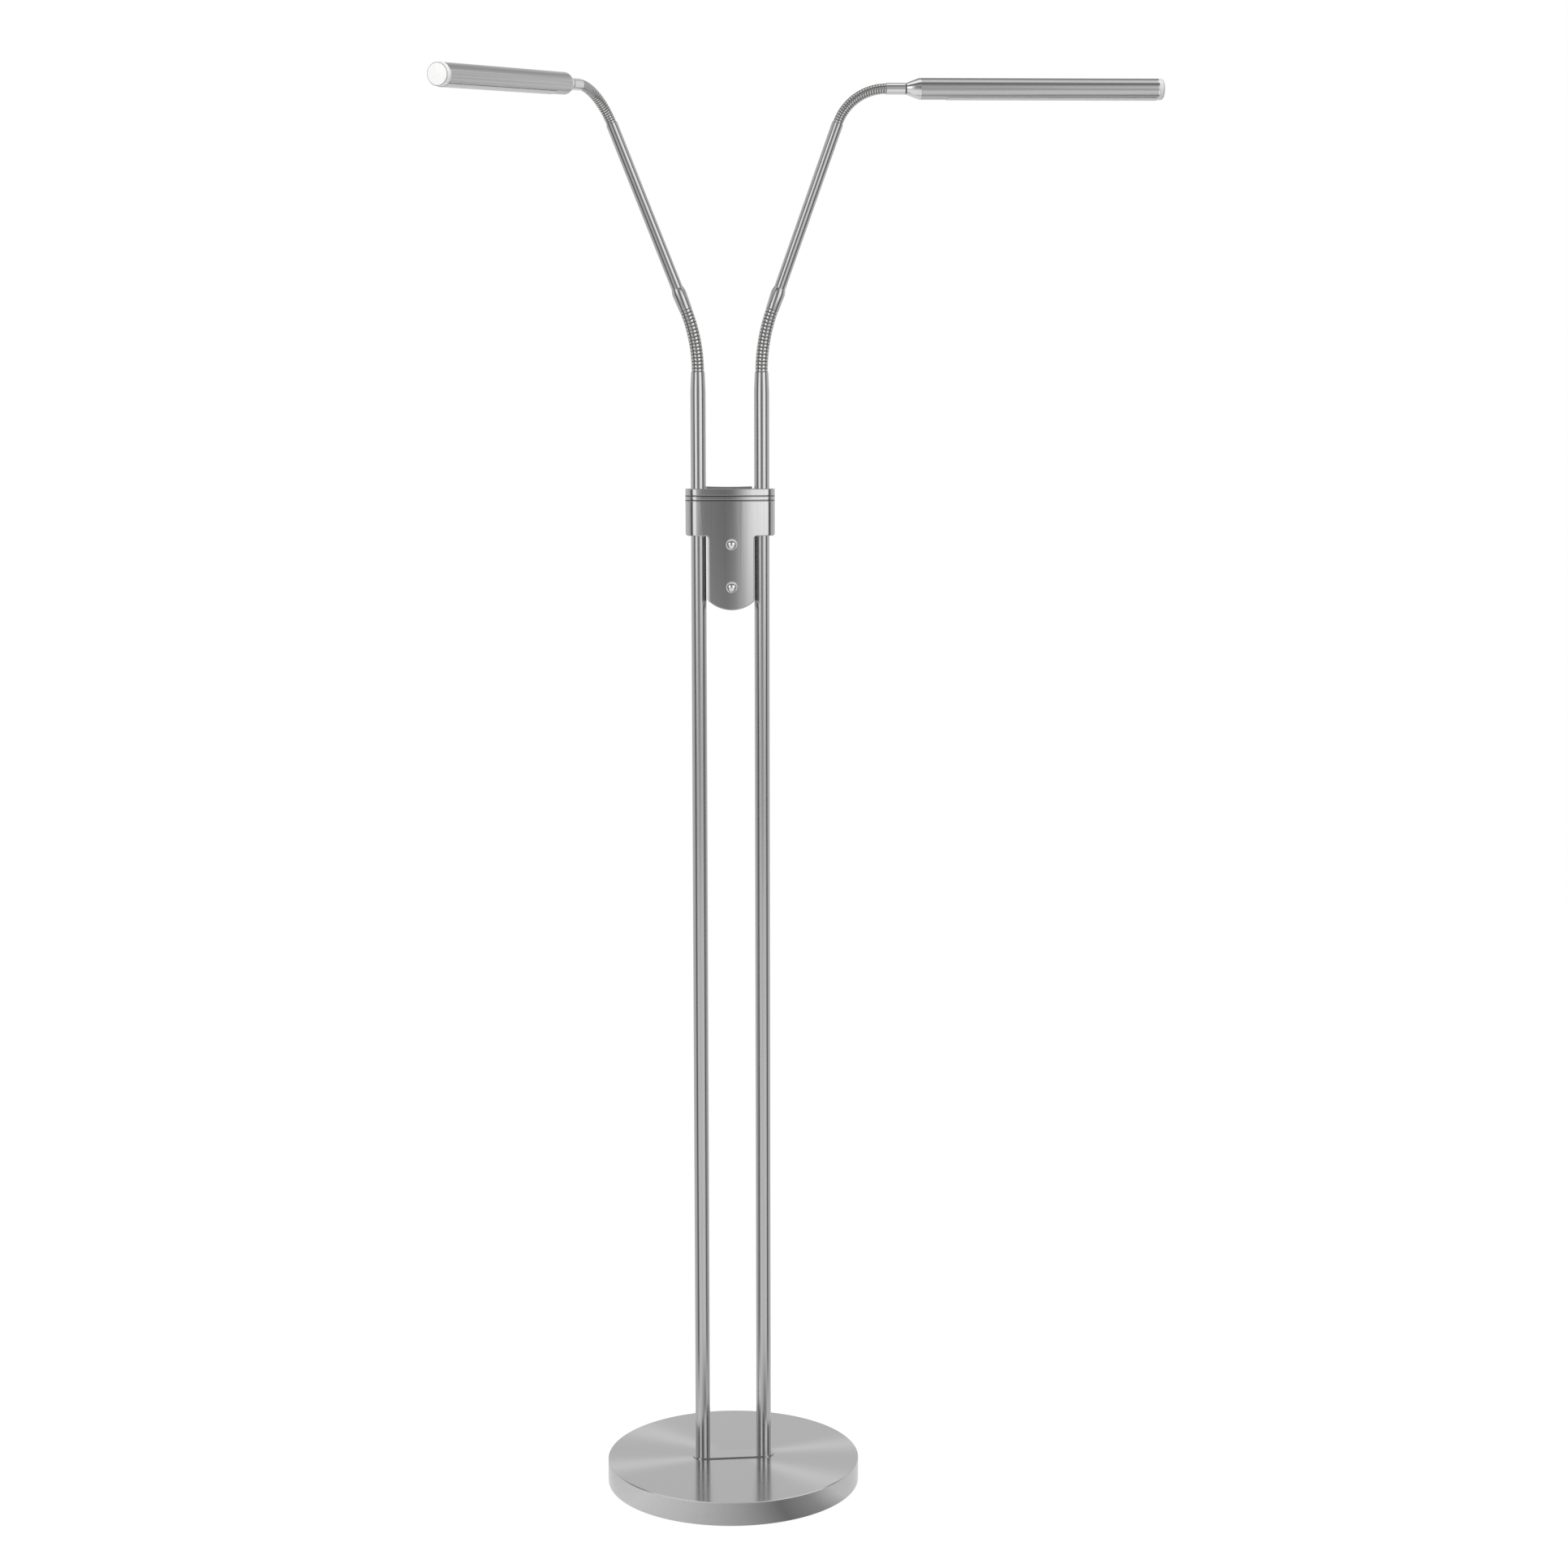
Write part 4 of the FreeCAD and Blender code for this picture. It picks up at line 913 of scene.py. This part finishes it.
class LAMP_OT_heads(Operator):
    """Make the slotted head tubes, their light strips, bright rings and end caps"""

    bl_idname = "lamp.heads"
    bl_label = "Light Heads"

    def execute(self, context):
        colours = tones()
        ring_finish = polished_metal("ring_chrome", colours.chrome, 0.06)
        milky = plastic("diffuser_white", colours.strip, 0.32, coat=0.15, mottle=0.02)
        lamps = plastic("led_white", colours.milky, 0.4)
        carrier = drawn_metal("carrier_aluminium", colours.steel, 0.35)
        for side in SIDES:
            place = head_frame(side)
            low, tip, radius = span(f"head_tube_{side}", place)
            slot = span(f"diffuser_{side}", place)[0]
            top = span(f"end_cap_{side}", place)[1]
            half_slot = acos(1 - sizes().slot_depth / radius)
            satin = drawn_metal(f"head_satin_{side}", colours.head, 0.27, place, lines=1500.0,
                                line_depth=0.000009, streak=0.13)
            tube = slotted_tube(f"head_{side}_tube", place, low, slot, tip, radius, half_slot,
                                satin)
            strip = light_strip(f"light_strip_{side}", place, slot, tip, radius, half_slot, milky)
            outer = radius + sizes().ring_rise
            end = tip + sizes().ring_length
            ring = turned(f"head_ring_{side}", [
                (radius * RING_HOLE, tip), (outer, tip), (outer, end), (radius * RING_HOLE, end),
            ], place, ring_finish, round_edges=False)
            frosted = side == "left"
            face = rimmed_plastic(
                "cap_frosted" if frosted else "cap_clear",
                colours.milky if frosted else colours.clear,
                scaled(colours.clear, 0.45 if frosted else 0.8), place, radius,
                0.35 if frosted else 0.12)
            curve = sizes().frosted_round if frosted else sizes().cap_round
            cap = make_cap(side, place, end, top, radius * CAP_SHARE, curve, face)
            inside, wide = tip - sizes().flare_length * COLLAR_REACH, radius * COLLAR_SHARE
            collar = turned(f"cap_collar_{side}", [(0, inside), (wide, inside), (wide, tip), (0, tip)],
                            place, face)
            for piece, finish in ((tube, "head_satin"), (strip, "diffuser_white"),
                                  (ring, "cone_chrome"), (collar, "diffuser_white"),
                                  (cap, "cap_frosted" if frosted else "cap_clear")):
                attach(piece, f"{side}_head")
            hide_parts(f"head_tube_{side}")
            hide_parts(f"diffuser_{side}")
            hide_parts(f"end_cap_{side}")
            dress(f"led_board_{side}", lamps)
            dress(f"led_carrier_{side}", carrier)
        return {"FINISHED"}


# --- base, clamp and what is inside ----------------------------------------------------------

class LAMP_OT_base(Operator):
    """Finish the round base and the plate under the poles"""

    bl_idname = "lamp.base"
    bl_label = "Base"

    def execute(self, context):
        dress("base_shell", turned_metal("base_satin", tones().satin, 0.15))
        dress("foot_plate", drawn_metal("foot_satin", tones().satin, 0.20))
        dress("bottom_plate", plastic("plate_black", tones().rubber, 0.45))
        dress("floor_pad", foam("pad_foam", tones().foam))
        dress("cable_grommet", plastic("grommet_rubber", tones().rubber, 0.6))
        return {"FINISHED"}


GROOVE_LEVELS = (1.0733, 1.0687)  # the heights of the clamp's two grooves
GROOVE_REACH = 0.0015  # edges as near as this to a groove's level belong to it
PARTING_REACH = 0.0012  # edges as near as this to the face between the halves stay sharp
POLE_REACH = 1.08  # edges within this many radii of a pole stay sharp
LEAST_TURN = radians(35)  # flatter edges stay as they are
HOLE_SHARE = 0.25  # the rounding at the buttons' holes, against that outside
GROOVE_SHARE = 0.55  # the rounding at the grooves


def edge_weight(edge, front):
    """How much an edge of a clamp half is rounded: fully outside, a little at the grooves."""
    if len(edge.link_faces) != 2 or not edge.is_convex:
        return 0.0
    if edge.calc_face_angle() < LEAST_TURN:
        return 0.0
    middle = (edge.verts[0].co + edge.verts[1].co) / 2
    if abs(middle.y) < PARTING_REACH:
        return 0.0
    for node in ("pole_left", "pole_right"):
        low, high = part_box(node)
        axis = (low + high) / 2
        if (middle.xy - axis.xy).length < (high.x - low.x) / 2 * POLE_REACH:
            return 0.0
    for node in ("button_upper", "button_lower"):
        low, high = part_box(node)
        hole = (low + high) / 2
        if front and Vector((middle.x - hole.x, middle.z - hole.z)).length < (high.z - low.z) / 2:
            return HOLE_SHARE
    at_groove = any(abs(middle.z - level) < GROOVE_REACH for level in GROOVE_LEVELS)
    return GROOVE_SHARE if front and at_groove else 1.0


def soft_clamp(node, front, material):
    """A clamp half with its outer edges rounded."""
    mesh = frame["nodes"][node].data.copy()
    mesh.name = node + "_shell"
    merge(mesh, flatten=True)
    work = bmesh.new()
    work.from_mesh(mesh)
    weights = [edge_weight(edge, front) for edge in work.edges]
    work.free()
    layer = mesh.attributes.new("bevel_weight_edge", "FLOAT", "EDGE")
    layer.data.foreach_set("value", weights)
    mesh.shade_smooth()
    mesh.set_sharp_from_angle(angle=SHARP_FROM)
    return rounded(joined(node + "_shell", mesh, material), sizes().clamp_edge, "WEIGHT")


BUTTON_SWEEP = radians(145)  # how far round its section the bright ring goes
BUTTON_RISE = 1.15  # how high that section is, against half its width
BUTTON_GAP = 0.0004  # clears a flange's own faces when the radius beside it is measured
AT_FLANGE = 0.98  # corners beyond this share of the flange's radius are on it
AT_RIM = 0.99  # and those beyond this share of the button's radius are on its side


def make_button(node, material):
    """A push button: its stem and flange, then a bright ring round a small dome."""
    low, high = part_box(node)
    middle = (low + high) / 2
    place = axes(Vector((middle.x, 0, middle.z)), Vector((0, -1, 0)), UP)
    end, apex, flange = span(node, place)
    corners = corners_of(node, place)
    wide = [corner.z for corner in corners if corner.xy.length > flange * AT_FLANGE]
    radius = girth(node, place, max(wide) + BUTTON_GAP, apex)
    stem = girth(node, place, end, min(wide) - BUTTON_GAP)
    rim = max(corner.z for corner in corners if corner.xy.length > radius * AT_RIM)
    half = sizes().button_ring / 2
    profile = [(0, end), (stem, end), (stem, min(wide)), (flange, min(wide)),
               (flange, max(wide)), (radius, max(wide))]
    for step in range(BUTTON_STEPS + 1):
        angle = BUTTON_SWEEP * step / BUTTON_STEPS
        profile.append((radius - half + half * cos(angle), rim + half * BUTTON_RISE * sin(angle)))
    foot, level = profile[-1]
    rise = apex - level
    ball = (foot ** 2 + rise ** 2) / (2 * rise)
    spread = acos(1 - rise / ball)
    for step in range(1, DOME_STEPS + 1):
        angle = spread * (1 - step / DOME_STEPS)
        profile.append((ball * sin(angle), apex - ball * (1 - cos(angle))))
    profile[-1] = (0, apex)
    piece = turned(node + "_chrome", profile, place, material, round_edges=False)
    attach(piece, JOINTS[node + "_press"]["child"])
    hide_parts(node)


class LAMP_OT_clamp(Operator):
    """Make the clamp between the poles and its two push buttons"""

    bl_idname = "lamp.clamp"
    bl_label = "Clamp and Buttons"

    def execute(self, context):
        # the clamp's grooves get painted shade
        satin = drawn_metal("clamp_satin", tones().satin, 0.12, painted_shade_levels=GROOVE_LEVELS)
        for node, front in (("clamp_front", True), ("clamp_back", False)):
            piece = soft_clamp(node, front, satin)
            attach(piece, "root")
            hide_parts(node)
        chrome = polished_metal("button_chrome", tones().chrome, 0.05)
        for node in ("button_upper", "button_lower"):
            make_button(node, chrome)
        return {"FINISHED"}


class LAMP_OT_inner(Operator):
    """Finish the ballast, fasteners and electrical parts inside"""

    bl_idname = "lamp.inner"
    bl_label = "Inner Parts"

    def execute(self, context):
        steel = polished_metal("screw_steel", tones().steel, 0.28)
        for node in ("bottom_screws", "clamp_screws"):
            dress(node, steel)
        plain = drawn_metal("joint_steel", tones().steel, 0.32)
        for node in ("pole_nuts", "pole_joiners"):
            dress(node, plain)
        dress("ballast_weight", cast_iron("ballast_iron", tones().iron))
        dress("led_driver", plastic("driver_plastic", tones().rubber, 0.4))
        dress("dimmer_board", plastic("board_green", tones().board, 0.3, coat=0.6))
        return {"FINISHED"}


# --- stage -----------------------------------------------------------------------------------

# Brightness round the lamp, by bearing in degrees from the camera's side: the room above the
# horizon, the room just below it, the floor's painted shade, and the base's painted shadow near it
ROOM = (
    (-180, 0.80), (-112, 0.78), (-84, 0.60), (-73, 0.16), (-59, 0.10), (-52, 1.45), (-28, 1.45),
    (-20, 0.30), (0, 0.24), (5, 0.26), (12, 0.60), (20, 1.30), (30, 1.50), (52, 1.45),
    (59, 0.10), (72, 0.16), (83, 0.60), (112, 0.78), (180, 0.80),
)
LOW_ROOM = (
    (-180, 0.76), (-112, 0.76), (-84, 0.62), (-74, 0.08), (-62, 0.06), (-52, 0.50), (-28, 0.62),
    (0, 0.40), (24, 0.66), (52, 0.50), (62, 0.06), (73, 0.08), (83, 0.62), (112, 0.76),
    (180, 0.76),
)
FLOOR = (
    (-180, 0.76), (-112, 0.76), (-84, 0.60), (-74, 0.12), (-60, 0.12), (-50, 0.80), (-25, 0.88),
    (0, 0.80), (25, 0.88), (50, 0.80), (60, 0.12), (73, 0.12), (83, 0.60), (112, 0.76),
    (180, 0.76),
)
NEAR_FLOOR_PAINTED_SHADOW = (
    (-180, 0.70), (-110, 0.72), (-60, 0.94), (-30, 0.78), (0, 0.52), (22, 0.24), (42, 0.40),
    (60, 0.80), (110, 0.78), (180, 0.70),
)
# The same overhead, by the angle from the camera's horizon up and over to the one behind
OVERHEAD = (
    (0, 0.50), (30, 0.48), (46, 0.16), (62, 0.14), (72, 1.10), (98, 1.10), (112, 0.30),
    (140, 0.30), (154, 0.80), (180, 0.80),
)
LEVEL_SCALE = 2.0  # the ramps hold the levels divided by this, so that none is above 1
HORIZON = (radians(-5), radians(-1.5))  # where the low room gives way to the room above it
OVERHEAD_EDGE = (radians(22), radians(36))  # and the room to what is overhead
NEAR_EDGE = (0.24, 0.50)  # where the near floor gives way to the rest
FLOOR_GLOW = 1.15  # how bright the floor glows for the camera
FLOOR_SHARE = 0.75  # the share of the floor that the camera sees as glow; the rest is lit
FLOOR_SIDES = 96


def light_path(web):
    """1 for rays from the camera, and 1 for rays from gloss or glass."""
    camera = web.add("ShaderNodeLightPath", output=0)
    glossy = web.add("ShaderNodeLightPath", output=3)
    passing = web.add("ShaderNodeLightPath", output=6)
    return camera, glossy.math("MAXIMUM", passing)


def split(web, vector):
    return [web.add("ShaderNodeSeparateXYZ", {}, {"Vector": vector}, axis) for axis in range(3)]


def level_at(web, share, levels):
    """A brightness read off a list of places from 0 to 1."""
    stops = [(place, level / LEVEL_SCALE) for place, level in levels]
    return web.add("ShaderNodeValToRGB", {"stops": stops}, {"Fac": share}) * LEVEL_SCALE


def by_bearing(web, bearing, levels):
    """A brightness that changes with the bearing."""
    places = [(0.5 + degrees / 360, level) for degrees, level in levels]
    return level_at(web, bearing / tau + 0.5, places)


def make_room():
    """White behind the lamp, two soft windows and a darker room on the camera's side."""
    world = bpy.data.worlds.new("studio")
    bpy.context.scene.world = world
    world.use_nodes = True
    web = Web(world.node_tree)
    x, y, z = split(web, web.add("ShaderNodeTexCoord", output=0))
    bearing = x.math("ARCTAN2", 0 - y)
    height = z.math("ARCSINE")
    above = web.ease(height, *HORIZON)
    walls = (by_bearing(web, bearing, ROOM) * above
             + by_bearing(web, bearing, LOW_ROOM) * (1 - above))
    high = level_at(web, z.math("ARCTAN2", 0 - y) / pi,
                    [(degrees / 180, level) for degrees, level in OVERHEAD])
    rise = web.ease(height, *OVERHEAD_EDGE)
    level = walls * (1 - rise) + high * rise
    camera, _ = light_path(web)
    shown = camera + (1 - camera) * level
    sky = web.add("ShaderNodeBackground", {}, {"Color": (1.0, 1.0, 1.0, 1.0), "Strength": shown})
    web.add("ShaderNodeOutputWorld", {}, {"Surface": sky})


def make_floor(radius):
    """A white floor that keeps the lamp's shadow. Gloss sees it with painted darker bands like the
    room's, and a painted shadow of the base close to it.
    """
    finish = Finish("floor_white")
    camera, gloss = light_path(finish)
    where = finish.where()
    x, y, _ = split(finish, where)
    bearing = x.math("ARCTAN2", 0 - y)
    reach = finish.vector("LENGTH", where, output=1)
    far = finish.ease(reach, *NEAR_EDGE)
    # painted shade of the floor and the base's painted shadow close to it, seen by gloss only
    shown = (by_bearing(finish, bearing, FLOOR) * far
             + by_bearing(finish, bearing, NEAR_FLOOR_PAINTED_SHADOW) * (1 - far))
    grain = finish.noise(where, 30.0)
    matt = finish.add("ShaderNodeBsdfDiffuse", {}, {
        "Color": finish.mix(grain, (0.84, 0.84, 0.84), (0.86, 0.86, 0.86))})
    glow = finish.add("ShaderNodeEmission", {}, {"Strength": camera * FLOOR_GLOW + gloss * shown})
    both = finish.add("ShaderNodeMixShader", {}, (camera * FLOOR_SHARE + gloss, matt, glow))
    finish.add("ShaderNodeOutputMaterial", {}, {"Surface": both})
    finish.material.cycles.emission_sampling = "NONE"
    turns = [tau * step / FLOOR_SIDES for step in range(FLOOR_SIDES)]
    corners = [(radius * cos(angle), radius * sin(angle), 0.0) for angle in turns]
    mesh = bpy.data.meshes.new("floor")
    mesh.from_pydata(corners, [], [range(FLOOR_SIDES)])
    joined("floor", mesh, finish.material)


def make_lamp(name, place, aim, width, power):
    """A large soft lamp that lights matt surfaces and stays out of reflections."""
    light = bpy.data.lights.new(name, "AREA")
    light.shape = "DISK"
    light.size = width
    light.energy = power
    lamp = bpy.data.objects.new(name, light)
    lamp.location = place
    lamp.rotation_euler = (Vector(aim) - Vector(place)).to_track_quat("-Z", "Y").to_euler()
    lamp.visible_glossy = False
    lamp.visible_camera = False
    bpy.context.scene.collection.objects.link(lamp)


def make_camera(studio):
    """The camera at the photograph's angle."""
    camera = bpy.data.cameras.new("camera")
    camera.lens = studio.lens
    camera.sensor_width = 36.0
    camera.clip_end = 100.0
    turn = (Matrix.Rotation(-studio.yaw, 3, "Z") @ Matrix.Rotation(pi / 2 - studio.pitch, 3, "X")
            @ Matrix.Rotation(studio.roll, 3, "Z"))
    holder = bpy.data.objects.new("camera", camera)
    holder.matrix_world = Matrix.Translation(studio.position) @ turn.to_4x4()
    bpy.context.scene.collection.objects.link(holder)
    bpy.context.scene.camera = holder


class LAMP_OT_stage(Operator):
    """Build the white studio, its lights and the camera"""

    bl_idname = "lamp.stage"
    bl_label = "Studio"

    def execute(self, context):
        studio = context.scene.lamp_studio
        context.scene.view_settings.view_transform = "Standard"
        make_room()
        make_floor(studio.floor_radius)
        make_lamp("fill_front", (-1.6, -2.6, 2.6), (0, 0, 0.8), 1.8, studio.fill)
        make_lamp("fill_top", (0.8, -0.6, 3.4), (0, 0, 0.6), 1.6, studio.fill * 0.5)
        make_camera(studio)
        return {"FINISHED"}


# --- the add-on ------------------------------------------------------------------------------

OPERATORS = (LAMP_OT_base, LAMP_OT_poles, LAMP_OT_clamp, LAMP_OT_necks, LAMP_OT_arms,
             LAMP_OT_ferrules, LAMP_OT_heads, LAMP_OT_inner, LAMP_OT_stage)


class LAMP_PT_panel(Panel):
    """Lists the lamp's sizes, finishes and the steps that make it"""

    bl_idname = "LAMP_PT_panel"
    bl_label = "Floor Lamp"
    bl_space_type = "VIEW_3D"
    bl_region_type = "UI"
    bl_category = "Lamp"

    def draw(self, context):
        for group in (context.scene.lamp_sizes, context.scene.lamp_tones,
                      context.scene.lamp_studio):
            column = self.layout.column(align=True)
            for name in group.__annotations__:
                column.prop(group, name)
        for operator in OPERATORS:
            self.layout.operator(operator.bl_idname)


GROUPS = {"lamp_sizes": LampSizes, "lamp_tones": LampTones, "lamp_studio": StudioSettings}
CLASSES = (*GROUPS.values(), *OPERATORS, LAMP_PT_panel)


def register():
    for kind in CLASSES:
        bpy.utils.register_class(kind)
    for name, kind in GROUPS.items():
        setattr(bpy.types.Scene, name, PointerProperty(type=kind))


def unregister():
    for name in GROUPS:
        delattr(bpy.types.Scene, name)
    for kind in reversed(CLASSES):
        bpy.utils.unregister_class(kind)


def main():
    register()
    bpy.ops.lamp.base()
    bpy.ops.lamp.poles()
    bpy.ops.lamp.clamp()
    bpy.ops.lamp.necks()
    bpy.ops.lamp.arms()
    bpy.ops.lamp.ferrules()
    bpy.ops.lamp.heads()
    bpy.ops.lamp.inner()
    bpy.ops.lamp.stage()


if __name__ == "__main__":
    main()
